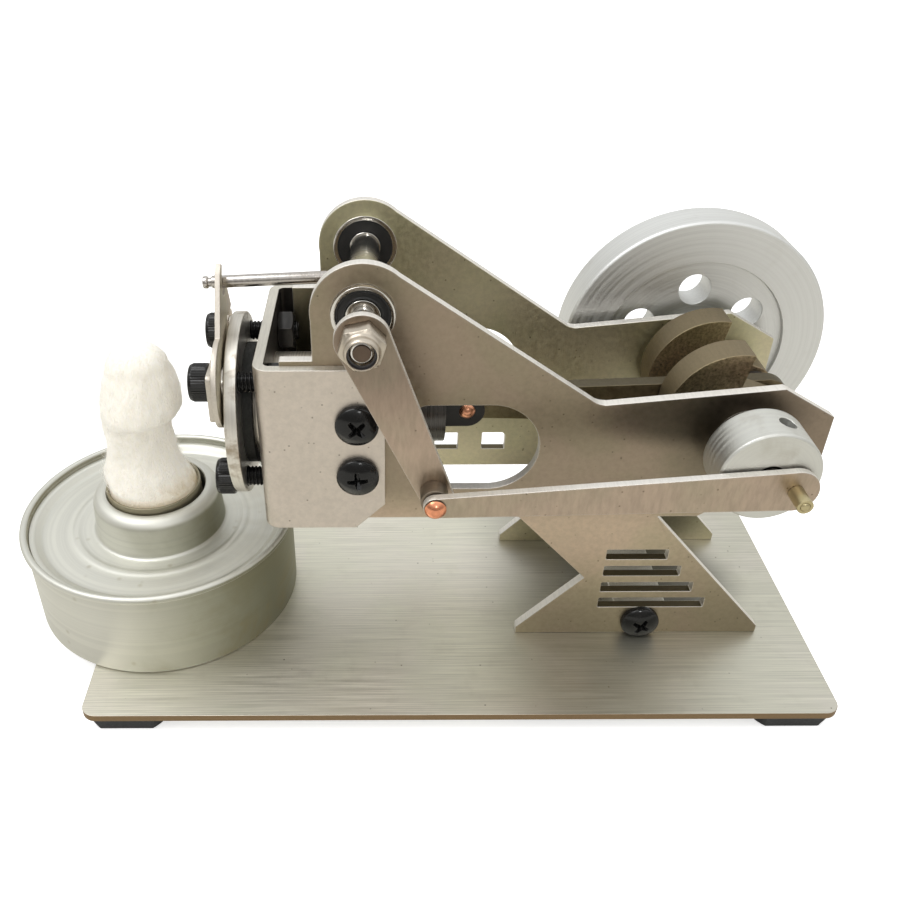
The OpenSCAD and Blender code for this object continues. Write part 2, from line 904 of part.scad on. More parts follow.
module valve_lever() color("tan") {
  low = fork_slot_half + near_prong;
  high = fork_slot_half + far_prong;
  sheet_x(head_x - side_gap - valve_thickness, head_x - side_gap) difference() {
    translate([pivot_y, pivot_z]) union() {
      rotate(-45) taper_bar(head_screw_circle, valve_hub_radius, valve_pad_radius);
      rotate(fork_angle) difference() {
        polygon([
          [0, -high], [slot_root_reach - ear_length / 2, -high],
          [slot_root_reach - ear_length / 2, -high - ear_width / 2],
          [slot_root_reach, -high - ear_width], [slot_root_reach + ear_length / 2, -high],
          [far_tip_reach - far_prong / 2, -high],
          [far_tip_reach, -(fork_slot_half + high) / 2], [far_tip_reach, -fork_slot_half],
          [slot_root_reach + fork_slot_half, -fork_slot_half],
          [slot_root_reach + fork_slot_half, fork_slot_half],
          [near_tip_reach, fork_slot_half], [near_tip_reach, (fork_slot_half + low) / 2],
          [near_tip_reach - near_prong, low], [0, low]]);
        translate([slot_root_reach + fork_slot_half, 0]) circle(fork_slot_half / tangent_share);
      }
    }
    translate([pivot_y, pivot_z]) {
      circle(standoff_radius + run);
      rotate(-45 - valve_turn) translate([head_screw_circle, 0]) circle(port_radius);
    }
  }
}

module valve_rod() color("silver") at_rocker() rotate([0, -rod_slope, 0]) difference() {
  round_x(rod_radius, -rod_reach, -shaft_radius - run);
  difference() {
    round_x(2 * rod_radius, -rod_reach + rod_tip, -rod_reach + rod_tip + rod_groove);
    round_x(rod_radius - rod_groove_depth, -2 * rod_reach, 0);
  }
}

module rocker_shaft() color("silver") at_rocker()
  round_y(shaft_radius, rocker_front_y, rocker_rear_y);

module rocker_sleeve() color("silver") at_rocker() difference() {
  ring_y(sleeve_radius, shaft_radius, -rod_far, rod_far);
  rotate([0, -rod_slope, 0]) round_x(rod_radius, -rod_reach, 0);
}

// Rings and seals of one pair of flanged bearings, flanges inwards
module inner_rings() both_sides() ring_y(inner_race, shaft_radius, rod_far, bearing_face);

module outer_rings() both_sides() {
  ring_y(bearing_radius, outer_race, plate_in, bearing_face);
  ring_y(bearing_flange, flange_race, rod_far, plate_in);
}

module seals() both_sides() {
  ring_y(outer_race, inner_race + run, plate_in, bearing_face - seal_recess);
  ring_y(flange_race, inner_race + run, rod_far + seal_recess, plate_in);
}

module rocker_inner_rings() color("silver") at_rocker() inner_rings();
module rocker_outer_rings() color("silver") at_rocker() outer_rings();
module rocker_seals() color("black") at_rocker() seals();

module rocker_lever() color("tan") difference() {
  at_rocker() sheet_y(lever_y, lever_y + lever_thickness) rotate(lever_lean - 90) union() {
    boss_inner = lever_boss * tangent_share;
    lean = asin((boss_inner - lever_end_half) / lever_length);
    circle(lever_boss);
    polygon([
      [boss_inner * sin(lean), boss_inner * cos(lean)],
      [boss_inner * sin(lean), -boss_inner * cos(lean)],
      [lever_length, -lever_end_half], [lever_length, lever_end_half]]);
  }
  at_rocker() round_y(shaft_radius, 2 * lever_y, 0);
  translate([rivet_x, 0, rivet_z]) round_y(rivet_radius, 2 * lever_y, 0);
}

module rocker_nuts() color("silver") at_rocker() {
  translate([0, lever_y, 0]) rotate([90, 0, 0]) lock_nut();
  translate([0, bearing_face, 0]) rotate([-90, 0, 0]) lock_nut();
}

module rocker_jam_nut() color("silver") at_rocker()
  translate([0, lever_y + lever_thickness + jam_nut, 0]) rotate([90, 0, 0]) hex_nut(jam_nut);

// Domed rivet head standing on z = 0
module dome(radius, height) {
  crown = (pow(radius, 2) + pow(height, 2)) / (2 * height);
  intersection() {
    cylinder(r = radius, h = height);
    translate([0, 0, height - crown]) sphere(crown);
  }
}

module link_rivet() color("chocolate") translate([rivet_x, 0, rivet_z]) {
  round_y(rivet_radius, link_y - side_gap, lever_y + lever_thickness);
  translate([0, link_y - side_gap, 0]) rotate([90, 0, 0]) dome(rivet_head_radius, rivet_head);
  translate([0, lever_y + lever_thickness, 0]) rotate([-90, 0, 0])
    dome(rivet_head_radius, rivet_head);
}

module rivet_spacer() color("silver") translate([rivet_x, 0, rivet_z])
  ring_y(rivet_spacer_radius, rivet_radius, link_back + side_gap, lever_y);

module valve_link() color("tan") translate([rivet_x, 0, rivet_z])
  sheet_y(link_y, link_back) rotate(link_angle) difference() {
    taper_bar(link_length, link_left, link_right);
    circle(rivet_radius + run);
    translate([link_length, 0]) circle(drive_core);
  }

module drive_pin() color("silver") translate([drive_x, 0, drive_z])
  round_y(drive_core, link_y - drive_length - drive_core / 4, link_back);

module drive_sleeve_ring() color("olive") translate([drive_x, 0, drive_z])
  ring_y(drive_sleeve, drive_core, link_y - drive_length, link_y);

module drive_seat_pin() color("silver") translate([drive_x, 0, drive_z])
  round_y(drive_sleeve, disc_y, disc_y + drive_seat);

module crank_disc() color("silver") difference() {
  at_crank() translate([0, disc_back, 0]) rotate([90, 0, 0]) union() {
    cylinder(r1 = disc_radius - disc_chamfer, r2 = disc_radius, h = disc_chamfer);
    translate([0, 0, disc_chamfer])
      cylinder(r = disc_radius, h = disc_thickness - 2 * disc_chamfer);
    translate([0, 0, disc_thickness - disc_chamfer])
      cylinder(r1 = disc_radius, r2 = disc_radius - disc_chamfer, h = disc_chamfer);
  }
  at_crank() round_y(shaft_radius, 2 * disc_y, 0);
  translate([drive_x, 0, drive_z]) round_y(drive_sleeve, 2 * disc_y, disc_y + drive_seat);
  at_crank() translate([0, disc_y + disc_thickness / 2, 0]) rotate([0, 90 - set_angle, 0])
    cylinder(r = set_hole, h = 2 * disc_radius);
}

module disc_set_screw() color("dimgray") at_crank()
  translate([0, disc_y + disc_thickness / 2, 0]) rotate([0, 90 - set_angle, 0])
    translate([0, 0, disc_radius - set_depth]) set_screw();

module disc_spacer() color("silver") at_crank()
  ring_y(inner_race, shaft_radius, disc_back, -bearing_face);

module front_crankshaft() color("silver") at_crank()
  round_y(shaft_radius, disc_y + shaft_recess, front_counter_y + counter_thickness);

module rear_crankshaft() color("silver") at_crank()
  round_y(shaft_radius, rear_counter_y, crank_rear_y);

module counterweight(front) difference() {
  at_crank() sheet_y(front, front + counter_thickness) rotate(crank_angle) {
    difference() {
      circle(counter_radius);
      translate([0, -2 * counter_radius]) square([2 * counter_radius, 4 * counter_radius]);
    }
    taper_bar(crank_throw, arm_root, arm_end);
  }
  at_crank() round_y(shaft_radius, 2 * disc_y, crank_rear_y);
  translate([pin_x, 0, pin_z]) round_y(pin_radius, 2 * disc_y, crank_rear_y);
}

module front_counterweight() color("olive") counterweight(front_counter_y);
module rear_counterweight() color("olive") counterweight(rear_counter_y);

module crank_pin_ends() color("dimgray") translate([pin_x, 0, pin_z]) {
  round_y(pin_radius, front_counter_y, front_counter_y + counter_thickness);
  round_y(pin_radius, rear_counter_y, rear_counter_y + counter_thickness);
}

module crank_collars() color("silver") at_crank() {
  ring_y(collar_radius, shaft_radius, -rod_far, front_counter_y);
  ring_y(collar_radius, shaft_radius, rear_counter_y + counter_thickness, rod_far);
}

module crank_inner_rings() color("silver") at_crank() inner_rings();
module crank_outer_rings() color("silver") at_crank() outer_rings();
module crank_seals() color("black") at_crank() seals();

module wheel_washer() color("silver") at_crank()
  ring_y(inner_race, shaft_radius, bearing_face, wheel_y);

module flywheel() color("gainsboro") at_crank() difference() {
  union() {
    translate([0, wheel_y + wheel_thickness, 0]) rotate([90, 0, 0]) {
      cylinder(r1 = wheel_radius - wheel_chamfer, r2 = wheel_radius, h = wheel_chamfer);
      translate([0, 0, wheel_chamfer])
        cylinder(r = wheel_radius, h = wheel_thickness - 2 * wheel_chamfer);
      translate([0, 0, wheel_thickness - wheel_chamfer])
        cylinder(r1 = wheel_radius, r2 = wheel_radius - wheel_chamfer, h = wheel_chamfer);
    }
    round_y(hub_radius, wheel_y, wheel_y + wheel_thickness + hub_length);
  }
  ring_y(rim_inner, hub_radius, wheel_y - wheel_thickness, wheel_y + wheel_recess);
  ring_y(rim_inner, hub_radius, wheel_y + wheel_thickness - wheel_recess,
    wheel_y + 3 * wheel_thickness);
  for (i = [0 : wheel_holes - 1]) rotate([0, -wheel_hole_angle - i * 360 / wheel_holes, 0])
    translate([wheel_hole_circle, 0, 0]) round_y(wheel_hole, 0, 2 * crank_rear_y);
  round_y(shaft_radius, 0, 2 * crank_rear_y);
  translate([0, wheel_y + wheel_thickness + hub_length / 2, 0])
    cylinder(r = set_hole, h = 2 * hub_radius);
}

module wheel_set_screw() color("dimgray") at_crank()
  translate([0, wheel_y + wheel_thickness + hub_length / 2, hub_radius - set_depth]) set_screw();

module crank_pin() color("dimgray") translate([pin_x, 0, pin_z])
  round_y(pin_radius, front_counter_y + counter_thickness + side_gap, rear_counter_y - side_gap);

module crank_pin_sleeve() color("dimgray") translate([pin_x, 0, pin_z])
  ring_y(pin_sleeve, pin_radius, conrod_thickness / 2, rear_counter_y - side_gap);

module connecting_rod() color("dimgray") translate([wrist_x, 0, axis_z])
  sheet_y(-conrod_thickness / 2, conrod_thickness / 2) rotate(conrod_angle) difference() {
    taper_bar(conrod_length, small_end, big_end);
    circle(wrist_radius + run);
    translate([conrod_length, 0]) circle(pin_radius);
  }

module piston() color("dimgray") at_axis() difference() {
  round_x(piston_radius, crown_x, crown_x + piston_length);
  for (i = [1 : groove_count]) ring_x(2 * piston_radius, piston_radius - groove_depth,
    crown_x + i * groove_pitch, crown_x + i * groove_pitch + groove_width);
}

module piston_clevis() color("dimgray") difference() {
  foot_x = crown_x + piston_length;
  inner = conrod_thickness / 2 + side_gap;
  union() {
    translate([foot_x, -inner - clevis_cheek, axis_z - clevis_half])
      cube([clevis_foot, 2 * inner + 2 * clevis_cheek, 2 * clevis_half]);
    both_sides() sheet_y(inner, inner + clevis_cheek) {
      translate([foot_x, axis_z - clevis_half]) square([wrist_x - foot_x, 2 * clevis_half]);
      translate([wrist_x, axis_z]) circle(clevis_half);
    }
  }
  translate([wrist_x, 0, axis_z]) round_y(wrist_radius, -2 * plate_in, 2 * plate_in);
}

module wrist_rivet() color("chocolate") translate([wrist_x, 0, axis_z]) {
  outer = conrod_thickness / 2 + side_gap + clevis_cheek;
  round_y(wrist_radius, -outer, outer);
  both_sides() translate([0, -outer, 0]) rotate([90, 0, 0]) dome(wrist_head_radius, wrist_head);
}

module lamp_tin() color("silver") at_lamp() translate([0, 0, lamp_low]) {
  rotate_extrude() {
    difference() {
      union() {
        translate([0, lamp_heel]) square([lamp_radius, lamp_height - lamp_heel - rim_roll]);
        square([lamp_radius - lamp_heel, lamp_heel]);
        translate([lamp_radius - lamp_heel, lamp_heel]) circle(lamp_heel);
      }
      translate([-lamp_radius, lamp_sheet]) square([2 * lamp_radius - lamp_sheet - lamp_heel,
        lamp_heel]);
      translate([-lamp_radius, lamp_heel])
        square([2 * lamp_radius - lamp_sheet, lamp_height]);
      translate([-2 * lamp_radius, -lamp_height]) square([2 * lamp_radius, 3 * lamp_height]);
    }
    translate([lamp_radius + rim_reach - rim_roll, lamp_height - rim_roll]) circle(rim_roll);
  }
}

// Half section of the cup's outside, drawn inwards by a thickness and cut off at a bore
module cup_section(inset, bore) intersection() {
  union() {
    translate([cup_lip_radius - lip_round, lip_z - lip_round]) circle(lip_round - inset);
    polygon([[0, lid_z - lamp_sheet - inset], [cup_foot_radius - inset, lid_z - lamp_sheet - inset],
      [cup_lip_radius - inset, lip_z - lip_round], [0, lip_z - lip_round]]);
  }
  translate([bore, 0]) square([cup_foot_radius, lip_z + lip_round]);
}

module lamp_lid() color("silver") at_lamp() rotate_extrude() {
  wall = lamp_radius - lamp_sheet;
  thick = lamp_sheet;
  polygon([
    [cup_foot_radius - thick, lid_z - thick], [lid_floor_radius, lid_z - thick],
    [wall - rim_roll, lid_z + lid_depth - 2 * rim_roll - thick],
    [wall, lid_z + lid_depth - 2 * rim_roll - thick],
    [wall, lid_z + lid_depth - 2 * rim_roll],
    [wall - rim_roll - thick / 2, lid_z + lid_depth - 2 * rim_roll],
    [lid_floor_radius - thick / 2, lid_z], [cup_foot_radius - thick / 2, lid_z]]);
  difference() {
    cup_section(0, cup_bore);
    cup_section(thick, cup_bore + thick);
    square([cup_bore + 2 * thick, lip_z - lip_drop]);
  }
  translate([bead_circle, lid_z + bead_rise - bead_radius]) circle(bead_radius);
}

module wick_tube() color("silver") at_lamp() translate([0, 0, lip_z + tube_stand - tube_length])
  difference() {
    union() {
      cylinder(r = tube_radius, h = tube_length);
      translate([0, 0, tube_length - tube_stand - lip_drop]) cylinder(r = cup_bore, h = tube_collar);
    }
    translate([0, 0, -tube_length]) cylinder(r = tube_radius - tube_wall, h = 3 * tube_length);
  }

module wick() color("ivory") at_lamp() rotate_extrude() {
  free = base_top + wick_top - lip_z;
  last = len(wick_height_shares) - 1;
  polygon(concat(
    [[0, lip_z - wick_tail], [wick_foot_radius, lip_z - wick_tail], [wick_foot_radius, lip_z]],
    [for (i = [0 : last]) [wick_bulb_radius * wick_radius_shares[i],
      lip_z + free * wick_height_shares[i]]],
    [[0, lip_z + free]]));
}

module place() translate([shift_x, shift_y, 0]) children();

place() base_plate();
place() rubber_feet();
place() front_plate();
place() rear_plate();
place() leg_block();
place() leg_screws();
place() base_screws();
place() cylinder_bracket();
place() bracket_screws();
place() bracket_nuts();
place() cylinder_barrel();  // cylinder
place() heat_washer();
place() head_flange();
place() lower_head_screws();
place() upper_head_screws();
place() head_nuts();
place() standoffs();
place() wave_washer();
place() keeper_plate();
place() valve_lever();
place() valve_rod();
place() rocker_shaft();
place() rocker_sleeve();
place() rocker_inner_rings();
place() rocker_outer_rings();
place() rocker_seals();
place() rocker_lever();
place() rocker_nuts();
place() rocker_jam_nut();
place() link_rivet();
place() rivet_spacer();
place() valve_link();
place() drive_pin();
place() drive_sleeve_ring();  // drive_sleeve
place() drive_seat_pin();
place() crank_disc();
place() disc_set_screw();
place() disc_spacer();
place() front_crankshaft();
place() rear_crankshaft();
place() front_counterweight();
place() rear_counterweight();
place() crank_pin_ends();
place() crank_collars();
place() crank_inner_rings();
place() crank_outer_rings();
place() crank_seals();
place() wheel_washer();
place() flywheel();
place() wheel_set_screw();
place() crank_pin();
place() crank_pin_sleeve();
place() connecting_rod();
place() piston();
place() piston_clevis();
place() wrist_rivet();
place() lamp_tin();
place() lamp_lid();
place() wick_tube();
place() wick();
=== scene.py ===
"""Looks of a desk-top flame-driven hot-air engine and its spirit lamp.

Sizes are in millimetres and are turned into metres when a piece is made.
"""

import json
import logging
import math
import random
from collections.abc import Callable, Iterable, Sequence
from dataclasses import dataclass
from enum import Enum
from typing import Any

import bmesh
import bpy
from mathutils import Matrix, Vector, noise

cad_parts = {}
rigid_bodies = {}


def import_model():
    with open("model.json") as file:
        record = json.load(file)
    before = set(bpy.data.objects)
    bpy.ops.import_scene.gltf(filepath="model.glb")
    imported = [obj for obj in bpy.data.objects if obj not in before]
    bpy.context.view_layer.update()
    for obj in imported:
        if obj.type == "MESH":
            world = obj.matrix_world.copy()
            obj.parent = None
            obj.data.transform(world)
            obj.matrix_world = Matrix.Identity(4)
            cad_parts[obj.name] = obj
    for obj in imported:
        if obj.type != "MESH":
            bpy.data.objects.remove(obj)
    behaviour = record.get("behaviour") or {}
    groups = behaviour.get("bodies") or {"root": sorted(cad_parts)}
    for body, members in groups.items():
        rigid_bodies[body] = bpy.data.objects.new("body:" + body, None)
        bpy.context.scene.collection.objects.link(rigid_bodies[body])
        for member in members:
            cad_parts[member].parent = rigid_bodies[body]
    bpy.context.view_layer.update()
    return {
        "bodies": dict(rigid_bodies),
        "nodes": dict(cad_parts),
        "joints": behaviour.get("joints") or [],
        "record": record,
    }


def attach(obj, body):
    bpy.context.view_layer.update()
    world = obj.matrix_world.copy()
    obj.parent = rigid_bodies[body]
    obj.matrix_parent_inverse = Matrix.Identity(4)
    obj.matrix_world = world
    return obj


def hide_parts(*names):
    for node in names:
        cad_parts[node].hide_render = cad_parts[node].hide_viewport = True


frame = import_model()
LOG = logging.getLogger("hot_air_engine")
MM = 0.001
# Most of a side that a rounding may take
SIDE_SHARE = 0.45
# Distance from the axis below which a point lies on it
ON_AXIS = 1e-6
# Distance in metres below which points are merged, and angles in degrees
MERGED = 1e-6
NEARLY_FLAT = 0.6
ROUNDED_ABOVE = 30.0
FACE_WEIGHT = 80
# The engine's own zero in the part's frame
ZERO_X, ZERO_Y = 6.75, 1.1

Colour = tuple[float, float, float]
Triple = tuple[float, float, float]
Pool = tuple[Iterable[float], Triple, float]
# Axis, start, end and the two factors of a band of painted light or shade
Tone = tuple[int, float, float, float, float]
Profile = Sequence[tuple[float, ...]]
ProfileAt = Callable[[float], Profile]
Form = bmesh.types.BMesh | bpy.types.Mesh


class Axis(Enum):
    """Directions of the object."""

    LEFT = (-1.0, 0.0, 0.0)
    RIGHT = (1.0, 0.0, 0.0)
    FRONT = (0.0, -1.0, 0.0)
    BACK = (0.0, 1.0, 0.0)
    DOWN = (0.0, 0.0, -1.0)
    UP = (0.0, 0.0, 1.0)


def spot(x: float, y: float, z: float) -> Vector:
    """Turns a place measured from the engine's mid-plane into the part's own frame.

    Args:
        x: Distance to the right of the base's middle.
        y: Distance behind the plane between the side plates.
        z: Height above the table.

    Returns:
        The place in millimetres.
    """
    return Vector((x + ZERO_X, y + ZERO_Y, z))


def heading(direction: Axis | Vector) -> Vector:
    """Gives a direction as a vector."""
    return Vector(direction.value) if isinstance(direction, Axis) else direction


def stand(centre: Vector, direction: Axis | Vector, turn: float = 0.0) -> Matrix:
    """Placement that turns local +Z to a direction at a place, after a turn round itself."""
    aimed = heading(direction).to_track_quat("Z", "Y").to_matrix().to_4x4()
    return Matrix.Translation(centre) @ aimed @ Matrix.Rotation(turn, 4, "Z")


def listed(given: Any) -> Sequence[Any]:
    """Gives a list or tuple as it is, and anything else as a list of one."""
    return given if isinstance(given, (list, tuple)) else [given]


def soften(profile: Profile, radius: float, closed: bool = False, steps: int = 3) -> list[Vector]:
    """Rounds the corners of a section.

    Args:
        profile: Points (radius, height) with an optional rounding of their own.
        radius: Rounding of the points that give none.
        closed: Whether the last point joins the first.
        steps: Number of pieces of each rounding.

    Returns:
        The points of the rounded section.
    """
    made: list[Vector] = []
    count = len(profile)
    for i, point in enumerate(profile):
        corner = Vector(point[:2])
        own = point[2] if len(point) > 2 else radius
        if own <= 0 or (not closed and i in (0, count - 1)):
            made.append(corner)
            continue
        before = Vector(profile[i - 1][:2]) - corner
        after = Vector(profile[(i + 1) % count][:2]) - corner
        start = corner + before.normalized() * min(own, before.length * SIDE_SHARE)
        end = corner + after.normalized() * min(own, after.length * SIDE_SHARE)
        for step in range(steps + 1):
            share = step / steps
            made.append(start.lerp(corner, share).lerp(corner.lerp(end, share), share))
    return made


def arc(centre: tuple[float, float], radius: float, start: float, end: float, steps: int) -> list[Triple]:
    """Gives points on an arc of a section, from one angle in degrees to another, with no rounding of their own."""
    angles = [math.radians(start + (end - start) * i / steps) for i in range(steps + 1)]
    return [(centre[0] + radius * math.cos(a), centre[1] + radius * math.sin(a), 0.0) for a in angles]


def hexagon(radius: float) -> list[tuple[float, float]]:
    """Gives the corners of a hexagon."""
    return [(radius * math.cos(math.tau * i / 6), radius * math.sin(math.tau * i / 6)) for i in range(6)]


def spin(section: ProfileAt | Sequence[Vector], segments: int = 96, closed: bool = False) -> bmesh.types.BMesh:
    """Turns a section round local Z.

    Args:
        section: Points (radius, height), or a function that gives them at an angle.
        segments: Number of steps in a full turn.
        closed: Whether the section's last point joins its first.

    Returns:
        The turned mesh.
    """
    mesh = bmesh.new()
    at = section if callable(section) else lambda angle: section
    first = at(0.0)
    poles = {i: mesh.verts.new((0, 0, p[1])) for i, p in enumerate(first) if p[0] < ON_AXIS}
    columns = []
    for step in range(segments):
        angle = math.tau * step / segments
        turn = (math.cos(angle), math.sin(angle))
        columns.append([poles[i] if i in poles else mesh.verts.new((p[0] * turn[0], p[0] * turn[1], p[1]))
                        for i, p in enumerate(at(angle))])
    last = len(first) if closed else len(first) - 1
    for step in range(segments):
        here, there = columns[step], columns[(step + 1) % segments]
        for i in range(last):
            j = (i + 1) % len(first)
            corners = list(dict.fromkeys((here[i], there[i], there[j], here[j])))
            if len(corners) > 2:
                mesh.faces.new(corners)
    return mesh


def to_data(mesh: bmesh.types.BMesh, name: str = "form") -> bpy.types.Mesh:
    """Turns a working mesh into mesh data and frees it.

    Args:
        mesh: The working mesh.
        name: Name of the data.

    Returns:
        The mesh data.
    """
    data = bpy.data.meshes.new(name)
    bmesh.ops.recalc_face_normals(mesh, faces=mesh.faces)
    mesh.to_mesh(data)
    mesh.free()
    return data


def add_object(name: str, data: Any) -> bpy.types.Object:
    """Puts a new object with its data into the scene."""
    thing = bpy.data.objects.new(name, data)
    bpy.context.scene.collection.objects.link(thing)
    return thing


def carve(body: bmesh.types.BMesh, tool: bmesh.types.BMesh) -> bpy.types.Mesh:
    """Cuts a closed form out of another.

    Args:
        body: The form that is cut.
        tool: The form that is taken away.

    Returns:
        The cut form as mesh data.
    """
    held = [add_object("held", to_data(m)) for m in (body, tool)]
    cut = held[0].modifiers.new("cut", "BOOLEAN")
    cut.operation, cut.solver, cut.object = "DIFFERENCE", "EXACT", held[1]
    graph = bpy.context.evaluated_depsgraph_get()
    made = bpy.data.meshes.new_from_object(held[0].evaluated_get(graph))
    for thing in held:
        bpy.data.objects.remove(thing)
    return made


def loft(outline: Sequence[tuple[float, float]], levels: Sequence[tuple[float, float]]) -> bmesh.types.BMesh:
    """Stacks scaled copies of an outline.

    Args:
        outline: Points of the outline round local Z.
        levels: Heights, each with the outline's scale there.

    Returns:
        The closed mesh.
    """
    mesh = bmesh.new()
    rows = [[mesh.verts.new((x * scale, y * scale, height)) for x, y in outline] for height, scale in levels]
    count = len(outline)
    for low, high in zip(rows, rows[1:]):
        for i in range(count):
            j = (i + 1) % count
            mesh.faces.new((low[i], low[j], high[j], high[i]))
    mesh.faces.new(rows[0][::-1])
    mesh.faces.new(rows[-1])
    return mesh


def ring(outer: float, inner: float, low: float, high: float, edge: float = 0.15,
         segments: int = 96) -> bmesh.types.BMesh:
    """Ring round local Z with rounded edges."""
    section = [(inner, low), (outer, low), (outer, high), (inner, high)]
    return spin(soften(section, edge, closed=True), segments, closed=True)


def bar(radius: float, low: float, high: float, edge: float = 0.2, segments: int = 64) -> bmesh.types.BMesh:
    """Round bar along local Z with rounded ends."""
    return spin(soften([(0.0, low), (radius, low), (radius, high), (0.0, high)], edge), segments)


def domed(shank: float, head: float, rise: float, low: float, high: float) -> bmesh.types.BMesh:
    """Rivet along local Z with a dome at each end.

    Args:
        shank: Radius between the heads.
        head: Radius of the heads.
        rise: Height of the heads.
        low: Where the lower head begins.
        high: Where the upper head begins.

    Returns:
        The rivet.
    """
    crown = (head**2 + rise**2) / (2 * rise)
    reaches = [head * (1 - i / 6) for i in range(7)]
    upper = [(head - 0.08, 0.0), *((r, rise - crown + math.sqrt(crown**2 - r**2)) for r in reaches)]
    section = [Vector((r, low - h)) for r, h in upper[::-1]] + [Vector((shank, low)), Vector((shank, high))]
    return spin(section + [Vector((r, high + h)) for r, h in upper], 64)


def opaque(colour: Any) -> Any:
    """Adds an alpha of one to a plain colour."""
    return (*colour, 1.0) if isinstance(colour, tuple) and len(colour) == 3 else colour


def shade(colour: Colour, factor: float | Colour) -> Colour:
    """Multiplies a colour by a number or by a tint, and keeps it within white."""
    tint = factor if isinstance(factor, tuple) else (factor,) * 3
    return tuple(min(1.0, a * b) for a, b in zip(colour, tint))


def metres(place: Iterable[float]) -> Triple:
    """Turns a place in millimetres into metres."""
    return tuple(c * MM for c in place)


class Effect(Enum):
    """Shader effects that several finishes share."""

    GRAIN = "rolled_grain"
    TURNED = "turned_rings"
    BLOTCH = "blotches"
    SPECKS = "specks"
    WEAR = "edge_wear"
    CUT = "cut_edges"


class Graph:
    """Short calls that add nodes to one tree and join them."""

    def __init__(self, tree: bpy.types.NodeTree) -> None:
        """Empties the tree and keeps it."""
        self.tree = tree
        tree.nodes.clear()

    def add(self, kind: str, inputs: dict[str | int, Any] | None = None, **settings: Any) -> bpy.types.Node:
        """Adds a node.

        Args:
            kind: The node's type without its prefix.
            inputs: Sockets or values for the node's inputs.
            settings: The node's own settings.

        Returns:
            The node.
        """
        node = self.tree.nodes.new(kind if kind.startswith("NodeGroup") else "ShaderNode" + kind)
        for key, value in settings.items():
            setattr(node, key, value)
        for key, value in (inputs or {}).items():
            if isinstance(value, bpy.types.NodeSocket):
                self.tree.links.new(value, node.inputs[key])
            elif value is not None:
                node.inputs[key].default_value = value
        return node

    def math(self, operation: str, a: Any, b: Any = None) -> bpy.types.NodeSocket:
        """Adds a sum of one or two numbers and gives its result."""
        return self.add("Math", {0: a, 1: b}, operation=operation).outputs[0]

    def times(self, a: Any, b: Any) -> bpy.types.NodeSocket:
        """Multiplies two numbers."""
        return self.math("MULTIPLY", a, b)

    def vector(self, operation: str, a: Any, b: Any = None, out: int = 0) -> bpy.types.NodeSocket:
        """Adds a sum of vectors and gives its result."""
        return self.add("VectorMath", {0: a, 1: b}, operation=operation).outputs[out]

    def dot(self, a: Any, b: Any) -> bpy.types.NodeSocket:
        """Gives the dot product of two vectors."""
        return self.vector("DOT_PRODUCT", a, b, 1)

    def mix(self, share: Any, a: Any, b: Any, blend: str = "MIX") -> bpy.types.NodeSocket:
        """Mixes two colours and gives the mixed one."""
        node = self.add("Mix", {0: share, 6: opaque(a), 7: opaque(b)}, data_type="RGBA", blend_type=blend)
        return node.outputs[2]

    def over(self, base: Any, mask: Any, share: float, colour: Any) -> bpy.types.NodeSocket:
        """Lays a colour over another by a share of a mask."""
        return self.mix(self.times(mask, share), base, colour)

    def dim(self, colour: Any, factor: Any) -> bpy.types.NodeSocket:
        """Multiplies a colour or a vector by a number and gives the result."""
        return self.add("VectorMath", {0: colour, "Scale": factor}, operation="SCALE").outputs[0]

    def span(self, value: Any, low: Any, high: Any, to_low: float = 0.0, to_high: float = 1.0) -> bpy.types.NodeSocket:
        """Maps a range of a value to another range, smoothly and clamped."""
        return self.add("MapRange", {0: value, 1: low, 2: high, 3: to_low, 4: to_high},
                        interpolation_type="SMOOTHSTEP").outputs[0]

    def gloss(self, tone: Any, low: float, high: float) -> bpy.types.NodeSocket:
        """Maps a tone to a range of roughness."""
        return self.span(tone, 0.2, 0.8, low, high)

    def noise(self, place: Any, scale: float, detail: float, rough: float, size: str = "3D") -> bpy.types.NodeSocket:
        """Adds a noise and gives its value."""
        return self.add("TexNoise", {"Vector": place, "Scale": scale, "Detail": detail, "Roughness": rough},
                        noise_dimensions=size).outputs[0]

    def coords(self, name: str = "Object") -> bpy.types.NodeSocket:
        """Gives the surface's own place, or its normal or another coordinate."""
        return self.add("TexCoord").outputs[name]

    def parts(self, vector: Any) -> Sequence[bpy.types.NodeSocket]:
        """Splits a vector into its three numbers."""
        return self.add("SeparateXYZ", {0: vector}).outputs

    def use(self, effect: Effect, **inputs: Any) -> bpy.types.Node:
        """Places a shared effect, with values for the group's inputs by name."""
        return self.add("Group", {k.capitalize(): v for k, v in inputs.items()}, node_tree=effect_tree(effect))

    def mask(self, effect: Effect, **inputs: Any) -> bpy.types.NodeSocket:
        """Places a shared effect and gives its first output."""
        return self.use(effect, **inputs).outputs[0]


SOCKETS: dict[Effect, tuple[tuple[tuple[str, str, Any], ...], tuple[str, ...]]] = {
    Effect.GRAIN: ((("Stretch", "Vector", (60.0, 5000.0, 5000.0)),), ("Tone", "Height")),
    Effect.TURNED: ((("Centre", "Vector", (0.0, 0.0, 0.0)), ("Axis", "Vector", (0.0, 1.0, 0.0)),
                     ("Density", "Float", 4000.0)), ("Tone", "Height", "Away")),
    Effect.BLOTCH: ((("Scale", "Float", 90.0), ("Low", "Float", 0.45), ("High", "Float", 0.65),
                     ("Shift", "Vector", (0.0, 0.0, 0.0))), ("Mask",)),
    Effect.SPECKS: ((("Scale", "Float", 900.0), ("Share", "Float", 0.05), ("Size", "Float", 0.25)), ("Mask",)),
    Effect.WEAR: ((("Reach", "Float", 0.0004),), ("Mask",)),
    Effect.CUT: ((("Faces", "Vector", (0.0, 1.0, 0.0)),), ("Mask", "Tone")),
}


